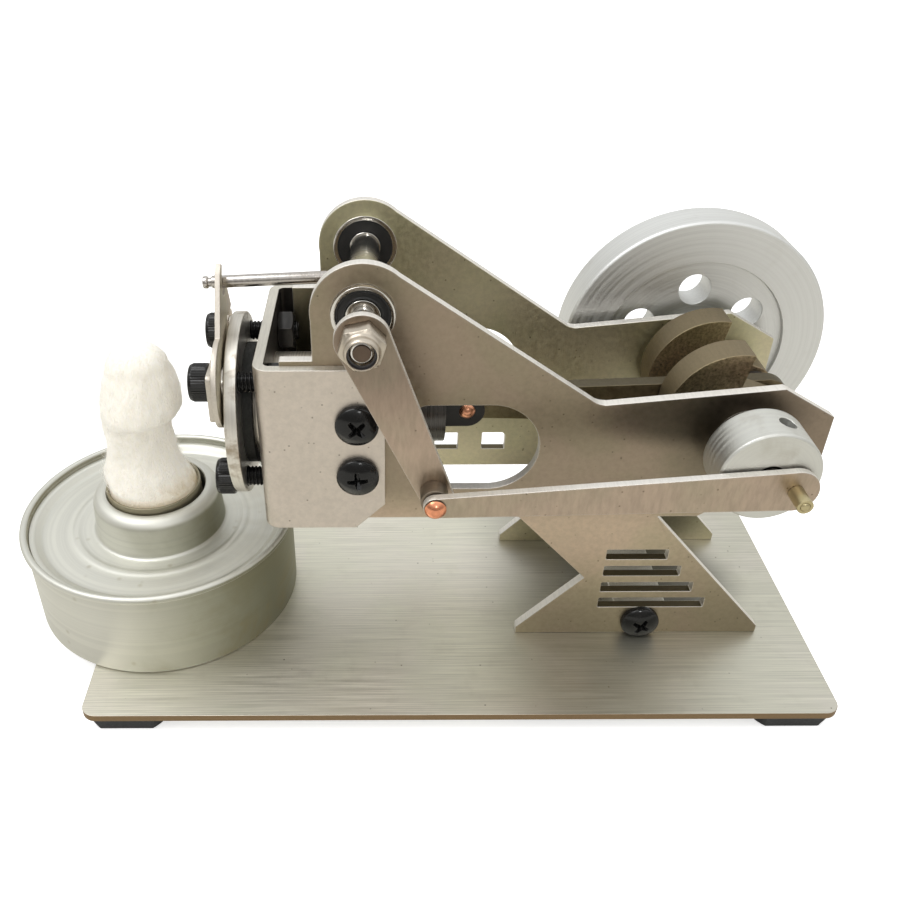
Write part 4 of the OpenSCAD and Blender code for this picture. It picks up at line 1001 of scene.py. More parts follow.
@dataclass(frozen=True)
class Hardware:
    """Forms of the screws and nuts that the whole engine shares, each standing on local zero."""

    shank: float = 1.95
    pitch: float = 0.7
    thread_depth: float = 0.32
    thread_top: float = 0.05
    across_flats: float = 7.0
    chamfer_share: float = 0.95
    nut_bore: float = 1.97
    cross_arm: float = 2.15
    cross_half: float = 0.42
    cross_depth: float = 1.9
    side_share: float = 0.45
    cap_radius: float = 3.6
    cap_height: float = 3.6
    cap_socket: float = 1.73
    cap_socket_depth: float = 2.0
    teeth: int = 44
    tooth: float = 0.05
    set_socket: float = 0.86

    @property
    def flat(self) -> float:
        """Radius of a nut's face inside its chamfer."""
        return self.across_flats / 2 * self.chamfer_share

    def pan_head(self, radius: float = 4.0, height: float = 2.4) -> bpy.types.Mesh:
        """Pan head with a cross recess.

        Args:
            radius: Radius of the head.
            height: Height of the head.

        Returns:
            The head.
        """
        side = height * self.side_share
        drop = height - side
        crown = (radius**2 + drop**2) / (2 * drop)
        reaches = [radius * (1 - i / 8) for i in range(1, 9)]
        dome = [(reach, height - crown + math.sqrt(crown**2 - reach**2), 0.0) for reach in reaches]
        profile = [(0.0, 0.0), (radius, 0.0, 0.12), (radius, side, 0.5), *dome]
        arm, half, inner = self.cross_arm, self.cross_half, self.cross_half * 1.35
        cross = [(arm, -half), (arm, half), (inner, inner), (half, arm), (-half, arm), (-inner, inner),
                 (-arm, half), (-arm, -half), (-inner, -inner), (-half, -arm), (half, -arm), (inner, -inner)]
        tool = loft(cross, [(height - self.cross_depth, 0.32), (height - 0.25, 0.93), (height + 0.6, 1.14)])
        return carve(spin(soften(profile, 0.2), 72), tool)

    def cap_head(self) -> bpy.types.Mesh:
        """Cylindrical head with a fine knurl and a hexagon socket.

        Returns:
            The head.
        """
        radius, height = self.cap_radius, self.cap_height

        def at(angle: float) -> Profile:
            """Section through the knurl at an angle."""
            outer = radius - self.tooth + self.tooth * math.cos(self.teeth * angle)
            return soften([(0.0, 0.0), (radius - 0.1, 0.0, 0.1), (outer, 0.35, 0.1), (outer, height - 0.75, 0.1),
                           (radius - 0.1, height - 0.6, 0.2), (radius - 0.3, height, 0.5), (0.0, height)], 0.1)

        levels = [(height - self.cap_socket_depth, 1.0), (height - 0.2, 1.0), (height + 0.2, 1.2)]
        return carve(spin(at, 4 * self.teeth), loft(hexagon(self.cap_socket), levels))

    def thread(self, low: float, high: float, radius: float | None = None) -> bpy.types.Mesh:
        """Threaded rod with softened ends.

        Args:
            low: Height of its lower end.
            high: Height of its upper end.
            radius: Radius over the thread, where it isn't the shank's.

        Returns:
            The rod.
        """
        outer = radius or self.shank
        steps = max(4, round((high - low) / self.pitch * 6))

        def at(angle: float) -> Profile:
            """Section through the thread.

            Args:
                angle: Angle round the rod.

            Returns:
                The section's points.
            """
            rows = [(0.0, low)]
            for i in range(steps + 1):
                height = low + (high - low) * i / steps
                share = (height / self.pitch - angle / math.tau) % 1.0
                bite = self.thread_depth * max(0.0, 1 - abs(share - 0.5) * 2.6)
                near = min(height - low, high - height)
                rows.append((outer - bite - max(0.0, 0.25 - near) * 0.8, height))
            return [*rows, (0.0, high)]

        return to_data(spin(at, 28))

    def screw(self, head: bpy.types.Mesh, length: float) -> list[bpy.types.Mesh]:
        """Gives a head with the thread below it."""
        return [head, self.thread(-length, self.thread_top)]

    def flank(self, angle: float, height: float) -> list[tuple[float, float]]:
        """Outer side of a nut, with its chamfered corners.

        Args:
            angle: Angle round the nut.
            height: Height of the hexagon.

        Returns:
            Points from the lower face to the upper chamfer.
        """
        reach = self.across_flats / 2 / math.cos((angle + math.pi / 6) % (math.pi / 3) - math.pi / 6)
        drop = (reach - self.flat) * 0.5
        return [(self.flat, 0.0), (reach - 0.05, drop - 0.02), (reach, drop + 0.06), (reach, height - drop - 0.06),
                (reach - 0.05, height - drop + 0.02)]

    def nut(self, height: float = 3.2, turn: float = 0.0) -> bpy.types.Mesh:
        """Hexagon nut.

        Args:
            height: Height of the nut.
            turn: Angle that it is turned by.

        Returns:
            The nut.
        """
        bore, flat = self.nut_bore, self.flat

        def at(angle: float) -> Profile:
            """Section through the nut at an angle."""
            return [(bore + 0.3, 0.0), *self.flank(angle + turn, height), (flat, height), (bore + 0.3, height),
                    (bore, height - 0.3), (bore, 0.3)]

        return to_data(spin(at, 96, closed=True))

    def lock_nut(self, height: float = 3.2, crown: float = 1.8, turn: float = 0.3) -> bpy.types.Mesh:
        """Lock nut with a rolled crown over a nylon ring, which has the second face mark.

        Args:
            height: Height of the hexagon.
            crown: Height of the crown above it.
            turn: Angle that the hexagon is turned by.

        Returns:
            The nut.
        """
        bore, flat, top = self.nut_bore + 0.09, self.flat, height + crown
        crowned = soften([(3.15, height + 0.12), (2.9, height + 0.4), (2.88, top - 0.5), (2.6, top),
                          (2.42, top - 0.02), (2.36, top - 0.45)], 0.25)

        def at(angle: float) -> Profile:
            """Section through the lock nut at an angle."""
            return [(bore + 0.2, 0.0), *self.flank(angle + turn, height), (flat * 0.97, height + 0.05),
                    *crowned, (2.3, top - 0.8), (bore, top - 0.85), (bore, 0.2)]

        made = to_data(spin(at, 96, closed=True))
        for face in made.polygons:
            middle = face.center
            face.material_index = int(middle.z > top - 0.9 and math.hypot(middle.x, middle.y) < 2.38)
        return made

    def set_screw(self, radius: float = 1.45, length: float = 3.0) -> bpy.types.Mesh:
        """Set screw with a hexagon socket in its outer end.

        Args:
            radius: Radius of the screw.
            length: Length of the screw.

        Returns:
            The screw.
        """
        body = spin(soften([(0.0, -length), (radius, -length, 0.3), (radius, 0.0, 0.2), (0.0, 0.0)], 0.2), 48)
        levels = [(-1.7, 0.2), (-1.4, 1.0), (-0.2, 1.0), (0.3, 1.15)]
        return carve(body, loft(hexagon(self.set_socket), levels))


HARDWARE = Hardware()


@dataclass
class Chassis:
    """Base sheet, feet, side plates and the block that stands between the legs."""

    foot_halves: tuple[float, float] = (6.8, 7.6)
    foot_height: float = 3.4
    foot_corner: float = 1.26
    foot_x: tuple[float, float] = (-66.4, 66.4)
    foot_y: tuple[float, float] = (-30.9, 28.7)
    block_x: float = 39.6
    plate_out: float = 16.5
    screw_z: float = 8.7
    base_screw_y: tuple[float, float] = (-4.5, 4.5)
    leg_screw: float = 8.0
    base_screw: float = 6.0
    base_head: tuple[float, float] = (3.4, 1.7)

    def build(self, shop: Workshop) -> None:
        """Makes and dresses the chassis.

        Args:
            shop: The workshop that shows the pieces.
        """
        shop.dress("base_plate", BASE)
        shop.dress("front_plate", PLATE, 0.16)
        shop.dress("rear_plate", REAR_PAINTED_LIGHT, 0.16)
        shop.dress("leg_block", BLOCK, 0.3)
        feet = [Matrix.Translation(spot(x, y, 0.0)) for x in self.foot_x for y in self.foot_y]
        shop.show("rubber_feet", spin(self.foot, 144), feet, RUBBER)
        heads = [stand(spot(self.block_x, s * self.plate_out, self.screw_z), Vector((0, s, 0)), 0.5 + s)
                 for s in (-1, 1)]
        shop.show("leg_screws", HARDWARE.screw(HARDWARE.pan_head(), self.leg_screw), heads, BLACK)
        under = [stand(spot(self.block_x, y, self.foot_height), Axis.DOWN) for y in self.base_screw_y]
        shop.show("base_screws", HARDWARE.screw(HARDWARE.pan_head(*self.base_head), self.base_screw), under, BLACK)

    def foot(self, angle: float) -> Profile:
        """Section of a square foot with blunted corners.

        Args:
            angle: Angle round the foot.

        Returns:
            The section's points.
        """
        reach = min(1 / max(abs(math.cos(angle)), abs(math.sin(angle))), self.foot_corner)
        low, high = (half * reach for half in self.foot_halves)
        return soften([(0.0, 0.3), (low * 0.7, 0.3, 0.2), (low * 0.76, 0.0, 0.2), (low, 0.0, 0.5),
                       (high, self.foot_height, 0.15), (0.0, self.foot_height)], 0.2)


@dataclass
class CylinderHead:
    """Bent bracket, cylinder, head flange and the screws that hold them."""

    web_in: float = -36.0
    washer_x: float = -41.6
    flange_x: float = -44.0
    keeper_x: float = -46.9
    offset: float = 10.607
    pivot_z: float = 64.107
    cheek: float = 18.5
    plate_nut: float = 11.3
    bracket_x: float = -19.7
    bracket_z: tuple[float, float] = (59.8, 48.5)
    cross_turns: tuple[float, float] = (0.75, 0.1)
    head_screw: tuple[float, float] = (12.1, 15.0)
    bracket_screw: float = 8.1
    barrel: float = 10.0
    barrel_bore: float = 8.05
    barrel_end: float = -10.0
    washer: float = 12.0
    washer_bore: float = 10.05
    washer_end: float = -39.6
    standoff: float = 3.0
    standoff_bore: float = 2.0
    standoff_out: float = -45.9
    wave_radius: float = 5.2
    wave_bore: float = 3.05
    wave_faces: tuple[float, float] = (-45.79, -45.61)
    wave_rise: float = 0.1
    waves: int = 3

    def build(self, shop: Workshop) -> None:
        """Makes and dresses the cylinder and all that holds it.

        Args:
            shop: The workshop that shows the pieces.
        """
        shop.dress("cylinder_bracket", BRACKET, 0.2)
        along = stand(BORE, Axis.RIGHT)
        barrel = ring(self.barrel, self.barrel_bore, self.washer_x, self.barrel_end, 0.3, 128)
        washer = ring(self.washer, self.washer_bore, self.washer_x, self.washer_end, segments=128)
        shop.show("cylinder", barrel, along, CYLINDER)
        shop.show("heat_washer", washer, along, GASKET)
        shop.dress("head_flange", FLANGE, 0.25, 3)
        self.head_screws(shop)
        self.bracket_screws(shop)
        self.keeper(shop)

    def head_screws(self, shop: Workshop) -> None:
        """Makes the head screws and their nuts.

        Args:
            shop: The workshop that shows the pieces.
        """
        cap = HARDWARE.cap_head()
        levels = BORE.z - self.offset, BORE.z + self.offset
        rows = (("lower_head_screws", self.flange_x), ("upper_head_screws", self.keeper_x))
        for (node, x), z, length in zip(rows, levels, self.head_screw):
            places = [stand(spot(x, s * self.offset, z), Axis.LEFT) for s in (-1, 1)]
            shop.show(node, HARDWARE.screw(cap, length), places, BLACK)
        inside = [stand(spot(self.web_in, s * self.offset, z), Axis.RIGHT) for s in (-1, 1) for z in levels]
        shop.show("head_nuts", HARDWARE.nut(), inside, DULL_BLACK)

    def bracket_screws(self, shop: Workshop) -> None:
        """Makes the screws through bracket and side plates, and their nuts.

        Args:
            shop: The workshop that shows the pieces.
        """
        heads, nuts = [], []
        for s in (-1, 1):
            for turn, z in zip(self.cross_turns, self.bracket_z):
                heads.append(stand(spot(self.bracket_x, s * self.cheek, z), Vector((0, s, 0)), turn))
                nuts.append(stand(spot(self.bracket_x, s * self.plate_nut, z), Vector((0, s, 0))))
        shop.show("bracket_screws", HARDWARE.screw(HARDWARE.pan_head(), self.bracket_screw), heads, BLACK)
        shop.show("bracket_nuts", HARDWARE.nut(), nuts, DULL_BLACK)

    def keeper(self, shop: Workshop) -> None:
        """Makes the stand-offs, the wave washer, the keeper plate and the valve lever.

        Args:
            shop: The workshop that shows the pieces.
        """
        pivots = [stand(spot(0.0, s * self.offset, self.pivot_z), Axis.RIGHT) for s in (-1, 1)]
        sleeve = ring(self.standoff, self.standoff_bore, self.standoff_out, self.flange_x, 0.2)
        shop.show("standoffs", sleeve, pivots, STANDOFF)
        washer = to_data(ring(self.wave_radius, self.wave_bore, *self.wave_faces, 0.05, 120))
        for vertex in washer.vertices:
            vertex.co.z += self.wave_rise * math.sin(self.waves * math.atan2(vertex.co.y, vertex.co.x))
        shop.show("wave_washer", washer, pivots[0], STANDOFF)
        shop.dress("keeper_plate", VALVE)
        shop.dress("valve_lever", VALVE, 0.1)


@dataclass
class Rocker:
    """Rocker shaft with its bearings, rod, lever and lock nuts."""

    front: float = -30.7
    rear: float = 22.9
    thread_front: float = -22.3
    thread_rear: float = 17.4
    lever_front: float = -26.5
    jam_front: float = -22.6
    tip: float = 0.7
    tip_radius: float = 1.5
    thread_radius: float = 1.99
    sleeve: float = 2.8
    rivet_shank: float = 1.2
    rivet_head: float = 1.9
    rivet_rise: float = 1.1
    rivet_ends: tuple[float, float] = (-32.0, -25.0)
    spacer: float = 2.5
    spacer_front: float = -29.9
    rod_slope: float = 2.5
    rod_start: float = 2.1
    rod_reach: float = 29.8
    rod_radius: float = 1.15
    rod_groove: float = 0.3
    groove_ends: tuple[float, float] = (1.6, 1.0)

    def build(self, shop: Workshop) -> None:
        """Makes and dresses the rocker.

        Args:
            shop: The workshop that shows the pieces.
        """
        axis = stand(ROCKER, Axis.BACK)
        forms = [to_data(bar(SHAFT, self.thread_front, self.thread_rear, 0.1)),
                 HARDWARE.thread(self.front + 0.5, self.thread_front, self.thread_radius),
                 HARDWARE.thread(self.thread_rear, self.rear - 0.5, self.thread_radius)]
        for low in (self.front, self.rear - self.tip):
            tip = to_data(bar(self.tip_radius, low, low + self.tip))
            for face in tip.polygons:
                face.material_index = 1
            forms.append(tip)
        shop.show("rocker_shaft", forms, axis, ROCKER_BRIGHT, SHAFT_TIP)
        shop.show("rocker_sleeve", ring(self.sleeve, SHAFT, -BEARING_IN, BEARING_IN, 0.25), axis, SLEEVE)
        self.rod(shop)
        Bearings("rocker", ROCKER).build(shop)
        shop.dress("rocker_lever", LEVER)
        nuts = [stand(ROCKER + Vector((0, self.lever_front, 0)), Axis.FRONT),
                stand(ROCKER + Vector((0, BEARING_OUT, 0)), Axis.BACK)]
        shop.show("rocker_nuts", HARDWARE.lock_nut(), nuts, NUT_STEEL, NYLON)
        jam = stand(ROCKER + Vector((0, self.jam_front, 0)), Axis.FRONT)
        shop.show("rocker_jam_nut", HARDWARE.nut(2.4, 0.1), jam, NUT_STEEL)
        rivet = stand(RIVET, Axis.BACK)
        riveted = domed(self.rivet_shank, self.rivet_head, self.rivet_rise, *self.rivet_ends)
        shop.show("link_rivet", riveted, rivet, COPPER)
        spacer = ring(self.spacer, self.rivet_shank, self.spacer_front, self.lever_front, 0.2)
        shop.show("rivet_spacer", spacer, rivet, SPACER)

    def rod(self, shop: Workshop) -> None:
        """Makes the valve rod with the groove near its end.

        Args:
            shop: The workshop that shows the pieces.
        """
        slope = math.radians(self.rod_slope)
        way = Vector((-math.cos(slope), 0.0, -math.sin(slope)))
        start, end, radius = self.rod_start, self.rod_reach, self.rod_radius
        neck = radius - self.rod_groove
        near, far = (end - reach for reach in self.groove_ends)
        profile = [(0.0, start), (radius, start, 0.1), (radius, near - 0.1, 0.12), (neck, near, 0.05),
                   (neck, far, 0.05), (radius, far + 0.1, 0.12), (radius, end, 0.3), (0.0, end)]
        finish = turned("rod_bright", (0.5, 0.47, 0.44), 0.22, ROCKER, way, density=1800.0, rings=0.07,
                        dirt_share=0.25)
        shop.show("valve_rod", spin(soften(profile, 0.1), 48), stand(ROCKER, way), finish)


@dataclass(frozen=True)
class Bearings:
    """Pair of flanged ball bearings of a shaft, one in each side plate."""

    name: str
    centre: Vector
    flange: float = 6.25
    flange_bore: float = 5.4
    flange_out: float = 14.5
    outer: float = 5.5
    outer_bore: float = 4.8
    seal: Profile = ((3.08, 13.75), (5.38, 13.75), (5.38, 14.4), (4.78, 14.6), (4.78, 17.15), (4.45, 17.25),
                     (4.3, 17.05), (3.45, 17.05), (3.3, 17.25), (3.08, 17.2))

    def build(self, shop: Workshop) -> None:
        """Makes the rings and seals.

        Args:
            shop: The workshop that shows the pieces.
        """
        sides = [stand(self.centre, Axis.FRONT), stand(self.centre, Axis.BACK)]
        steel = turned(self.name + "_race", (0.68, 0.66, 0.62), 0.16, self.centre, density=2500.0, rings=0.06)
        low, high, step = BEARING_IN, BEARING_OUT, self.flange_out
        outer = [(self.flange_bore, low), (self.flange, low), (self.flange, step), (self.outer, step, 0.0),
                 (self.outer, high), (self.outer_bore, high), (self.outer_bore, step, 0.0),
                 (self.flange_bore, step, 0.0)]
        forms = (("_outer_rings", spin(soften(outer, 0.14, True), closed=True), steel),
                 ("_seals", spin(soften(self.seal, 0.08, True), closed=True), SEAL),
                 ("_inner_rings", ring(RACE, SHAFT, low, high, 0.16), steel))
        for ending, form, finish in forms:
            shop.show(self.name + ending, form, sides, finish)


@dataclass
class LinkDrive:
    """Long link from the lever to the crank disc, and its drive pin."""

    front: float = -36.2
    link_front: float = -31.7
    link_back: float = -30.2
    seat_back: float = -25.2
    tip_radius: float = 0.55
    core_radius: float = 0.8
    radius: float = 1.4

    def build(self, shop: Workshop) -> None:
        """Makes and dresses the link and its pin.

        Args:
            shop: The workshop that shows the pieces.
        """
        shop.dress("valve_link", LINK)
        axis, core, sleeve_front = stand(DRIVE, Axis.BACK), self.core_radius, self.front + 0.2
        section = soften([(0.0, self.front), (self.tip_radius, self.front, 0.1), (core, sleeve_front, 0.1),
                          (core, self.link_back), (0.0, self.link_back)], 0.1)
        shop.show("drive_pin", spin(section, 48), axis, BRASS)
        shop.show("drive_sleeve", ring(self.radius, core, sleeve_front, self.link_front, 0.18), axis, BRASS)
        shop.show("drive_seat_pin", bar(self.radius, DISC_FRONT, self.seat_back, 0.15), axis, BRASS)


@dataclass
class Crank:
    """Crankshaft with its disc, counterweights, collars and flywheel."""

    disc_middle: float = -25.3
    set_reach: float = 7.8
    set_angle: float = 73.0
    hub_screw: Triple = (0.0, 29.6, 5.2)
    shaft_front: float = -29.1
    shaft_rear: float = 32.4
    wheel_front: float = 18.8
    collar: float = 3.4
    pin: float = 2.0

    def build(self, shop: Workshop) -> None:
        """Makes and dresses all that turns with the crankshaft.

        Args:
            shop: The workshop that shows the pieces.
        """
        axis, pin = stand(CRANK, Axis.BACK), stand(CRANK_PIN, Axis.BACK)
        shop.dress("crank_disc", DISC)
        shop.dress("flywheel", WHEEL, 0.15)
        inner_front, inner_rear = WEIGHT_INNER
        steel_pieces = {
            "disc_spacer": ring(RACE, SHAFT, DISC_BACK, -BEARING_OUT, 0.12),
            "wheel_washer": ring(RACE, SHAFT, BEARING_OUT, self.wheel_front, 0.12),
            "front_crankshaft": bar(SHAFT, self.shaft_front, inner_front, 0.45),
            "rear_crankshaft": bar(SHAFT, inner_rear, self.shaft_rear, 0.3),
            "crank_collars": [ring(self.collar, SHAFT, -BEARING_IN, WEIGHT_FRONT, 0.2),
                              ring(self.collar, SHAFT, WEIGHT_REAR, BEARING_IN)],
        }
        for node, forms in steel_pieces.items():
            shop.show(node, forms, axis, CRANK_BRIGHT)
        shop.dress("front_counterweight", BRONZE, 0.15)
        shop.dress("rear_counterweight", BRONZE, 0.15)
        ends = [bar(self.pin, WEIGHT_FRONT, inner_front), bar(self.pin, inner_rear, WEIGHT_REAR)]
        shop.show("crank_pin_ends", ends, pin, DULL_BLACK)
        self.set_screws(shop)
        Bearings("crank", CRANK).build(shop)

    def set_screws(self, shop: Workshop) -> None:
        """Makes the set screws of the disc and of the flywheel's hub.

        Args:
            shop: The workshop that shows the pieces.
        """
        form = HARDWARE.set_screw()
        lean = math.radians(self.set_angle)
        way = Vector((math.cos(lean), 0.0, math.sin(lean)))
        disc = stand(CRANK + Vector((0, self.disc_middle, 0)) + way * self.set_reach, way)
        shop.show("disc_set_screw", form, disc, BLACK)
        shop.show("wheel_set_screw", form, stand(CRANK + Vector(self.hub_screw), Axis.UP), BLACK)


@dataclass
class PistonTrain:
    """Piston, clevis, connecting rod and crank pin."""

    crown: float = -22.735
    length: float = 20.0
    radius: float = 8.0
    grooves: int = 3
    groove_pitch: float = 3.2
    groove_width: float = 0.9
    groove_depth: float = 0.4
    pin: float = 2.0
    pin_front: float = -1.6
    pin_rear: float = 5.4
    pin_sleeve: float = 3.2
    sleeve_front: float = 1.5
    wrist_shank: float = 1.0
    wrist_head: float = 1.6
    wrist_rise: float = 0.9
    wrist_half: float = 4.1

    def build(self, shop: Workshop) -> None:
        """Makes and dresses the piston train.

        Args:
            shop: The workshop that shows the pieces.
        """
        wide, narrow = self.radius, self.radius - self.groove_depth
        profile: list[tuple[float, ...]] = [(0.0, self.crown), (wide, self.crown, 0.3)]
        for i in range(1, self.grooves + 1):
            start = self.crown + i * self.groove_pitch
            end = start + self.groove_width
            profile += [(wide, start, 0.06), (narrow, start, 0.06), (narrow, end, 0.06), (wide, end, 0.06)]
        foot = self.crown + self.length
        profile += [(wide, foot, 0.3), (0.0, foot)]
        shop.show("piston", spin(soften(profile, 0.1), 96), stand(BORE, Axis.RIGHT), GRAPHITE)
        shop.dress("piston_clevis", DULL_BLACK, 0.2)
        shop.dress("connecting_rod", ROD, 0.2)
        rivet = domed(self.wrist_shank, self.wrist_head, self.wrist_rise, -self.wrist_half, self.wrist_half)
        shop.show("wrist_rivet", rivet, stand(WRIST, Axis.BACK), WRIST_COPPER)
        place = stand(CRANK_PIN, Axis.BACK)
        shop.show("crank_pin", bar(self.pin, self.pin_front, self.pin_rear, 0.15), place, DULL_BLACK)
        sleeve = ring(self.pin_sleeve, self.pin, self.sleeve_front, self.pin_rear, 0.2)
        shop.show("crank_pin_sleeve", sleeve, place, DULL_BLACK)


@dataclass
class SpiritLamp:
    """Drawn tin with its dished lid and cup, and the cotton wick.

    Each of the wick's rows is a height, the shift of its middle along X, and its radius.
    """

    low: float = 5.05
    radius: float = 28.6
    height: float = 21.3
    sheet: float = 0.8
    foot: float = 24.9
    lid_z: float = 23.15
    lid_out: float = 27.75
    dish_out: float = 24.4
    bead: tuple[float, float] = (19.3, 17.1)
    bead_top: tuple[float, float] = (18.6, 17.8)
    bead_rise: float = 0.2
    cup_foot: float = 14.4
    cup: float = 13.86
    lip_z: float = 32.15
    lip_middle: float = 10.9
    lip_roll: float = 2.6
    lip_turned: float = 2.2
    bore: float = 10.4
    tube: float = 9.9
    tube_low: float = 12.65
    tube_shift: Triple = (-0.35, -0.15, 0.0)
    fibres: int = 3000
    fibre_steps: int = 6
    fibre_base: float = 32.0
    fibre_drift: float = 0.5
    fibre_climb: float = 2.6
    fibre_lift: tuple[float, float] = (0.1, 1.2)
    fibre_thick: tuple[float, float] = (0.014, 0.028)
    seed: int = 7
    free_above: float = 33.5
    free_rise: float = 3.0
    calm_below_top: float = 7.0
    top: float = 66.0
    rows: tuple[Triple, ...] = (
        (15.15, -0.35, 9.2), (31.9, -0.4, 9.2), (33.0, -0.4, 9.1), (34.2, -0.7, 8.9), (36.0, -1.4, 8.7),
        (38.0, -1.8, 8.2), (40.0, -1.7, 7.6), (42.0, -1.5, 7.1), (44.0, -1.33, 6.95), (46.0, -1.4, 6.9),
        (48.0, -1.5, 7.05), (50.2, -1.3, 7.15), (51.3, -0.35, 8.2), (54.0, 0.0, 8.2), (56.0, 0.1, 7.8),
        (58.0, 0.2, 7.3), (60.0, 0.3, 6.65), (61.3, 0.35, 6.15))

    def build(self, shop: Workshop) -> None:
        """Makes and dresses the lamp.

        Args:
            shop: The workshop that shows the pieces.
        """
        place = Matrix.Translation(LAMP)
        low, top, wall, roll = self.low, self.low + self.height, self.radius, self.sheet
        tin = [(0.0, low + 0.5), (self.foot - 0.9, low + 0.5, 0.6), (self.foot, low, 0.5), (wall, low, 0.7),
               (wall, top - 1.75, 0.1), *arc((wall + 0.1, top - roll), roll, -75, 215, 14),
               (wall - roll, top - 1.9, 0.1), (wall - roll, low + 1.7, 0.7), (wall - 1.7, low + 0.85, 0.4),
               (0.0, low + 0.85)]
        shop.show("lamp_tin", spin(soften(tin, 0.2, steps=5), 192), place, TIN)
        lid_z, lip, bore, tube = self.lid_z, self.lip_z, self.bore, self.tube
        (bead_out, bead_in), (ridge_out, ridge_in) = self.bead, self.bead_top
        ridge, turned_to = lid_z + self.bead_rise, lip - self.lip_turned
        lid = [(self.lid_out, top - 1.62, 0.1), (self.lid_out - 0.95, top - 1.7, 0.5),
               (self.dish_out + 0.9, lid_z + 0.1, 0.6), (self.dish_out, lid_z, 0.4),
               (bead_out, lid_z, 0.4), (ridge_out, ridge, 0.3), (ridge_in, ridge, 0.3), (bead_in, lid_z, 0.4),
               (self.cup_foot, lid_z, 0.4), (self.cup, lid_z + 0.45, 0.4),
               *arc((self.lip_middle, lip - self.lip_roll), self.lip_roll, 4, 96, 16),
               (bore, lip - 0.2, 0.1), (bore, turned_to, 0.1), (bore + 0.8, turned_to, 0.1),
               (bore + 0.8, lip - 0.9, 0.3), (self.cup - 1.56, lip - 1.4, 0.6), (self.cup - 1.11, lip - 3.0, 0.6),
               (self.cup - 0.76, lid_z - 0.6, 0.3), (self.dish_out + 0.5, lid_z - 0.75, 0.3),
               (self.lid_out - 1.15, top - 2.5, 0.3), (self.lid_out, top - 2.4, 0.1)]
        shop.show("lamp_lid", spin(soften(lid, 0.2, True, steps=4), 192, True), place, TIN)
        inner, collar = tube - 0.5, bore - 0.55
        section = [(inner, self.tube_low), (tube, self.tube_low), (tube, turned_to, 0.0), (collar, turned_to, 0.0),
                   (collar, lip - 1.4, 0.0), (tube, lip - 1.4, 0.0), (tube, lip + 1.2, 0.2), (inner, lip + 1.2, 0.2)]
        held = Matrix.Translation(LAMP + Vector(self.tube_shift))
        shop.show("wick_tube", spin(soften(section, 0.1, True), 128, True), held, STAINED_TIN)
        shop.show("wick", self.body(), place, COTTON, crease=180.0)
        shop.show("wick", self.strands(), place, COTTON, extra="wick_fibres", crease=180.0)

    def at(self, height: float, column: int) -> float:
        """Smooth value of one column of the wick's rows.

        Args:
            height: Height above the table.
            column: Which value of a row.

        Returns:
            The value at that height.
        """
        rows = self.rows
        low = max(0, min(len(rows) - 2, sum(row[0] <= height for row in rows) - 1))
        before, here, there, after = (rows[max(0, min(len(rows) - 1, low + i))][column] for i in (-1, 0, 1, 2))
        t = max(0.0, min(1.0, (height - rows[low][0]) / (rows[low + 1][0] - rows[low][0])))
        bend = 2 * before - 5 * here + 4 * there - after
        twist = 3 * (here - there) + after - before
        return here + 0.5 * t * (there - before + t * (bend + t * twist))

    def surface(self, turn: float, height: float) -> Vector:
        """Place on the wick's skin.

        Args:
            turn: Angle round the wick.
            height: Height above the table.

        Returns:
            The place, from the lamp's middle.
        """
        shift, reach, last = self.at(height, 1), self.at(height, 2), self.rows[-1][0]
        if height > last:
            reach *= math.sqrt(max(0.0, 1 - ((height - last) / (self.top - last)) ** 2))
        way = Vector((math.cos(turn), math.sin(turn), 0.0))
        free = min(1.0, max(0.0, (height - self.free_above) / self.free_rise))
        sample = way * 1.5 + Vector((0, 0, height * 0.12))
        lump = noise.noise(sample) * 0.7 + noise.noise(sample * 2.3 + Vector((5, 3, 1))) * 0.35
        fine = noise.noise(sample * 7.0 + Vector((1, 7, 2))) * 0.16 + noise.noise(sample * 19.0) * 0.06
        calm = free * min(1.0, max(0.0, (self.top - height) / self.calm_below_top))
        return Vector((shift, 0.0, height)) + way * max(0.0, reach + (lump + fine) * calm)

    def body(self) -> bpy.types.Mesh:
        """Makes the cotton body.

        Returns:
            The body, round the lamp's middle.
        """
        first, count = self.rows[0][0], 110
        heights = [first + (self.top - first) * i / count for i in range(count + 1)]

        def at(angle: float) -> Profile:
            """Section of a plain round body, the same at each angle."""
            return [(0.0, heights[0])] + [(1.0, h) for h in heights] + [(0.0, heights[-1] + 0.05)]

        made = to_data(spin(at, 128))
        for vertex in made.vertices:
            if vertex.co.xy.length > 0.5:
                vertex.co = self.surface(math.atan2(vertex.co.y, vertex.co.x), vertex.co.z)
            elif vertex.co.z > self.free_above:
                vertex.co = self.surface(0.0, self.top)
        return made

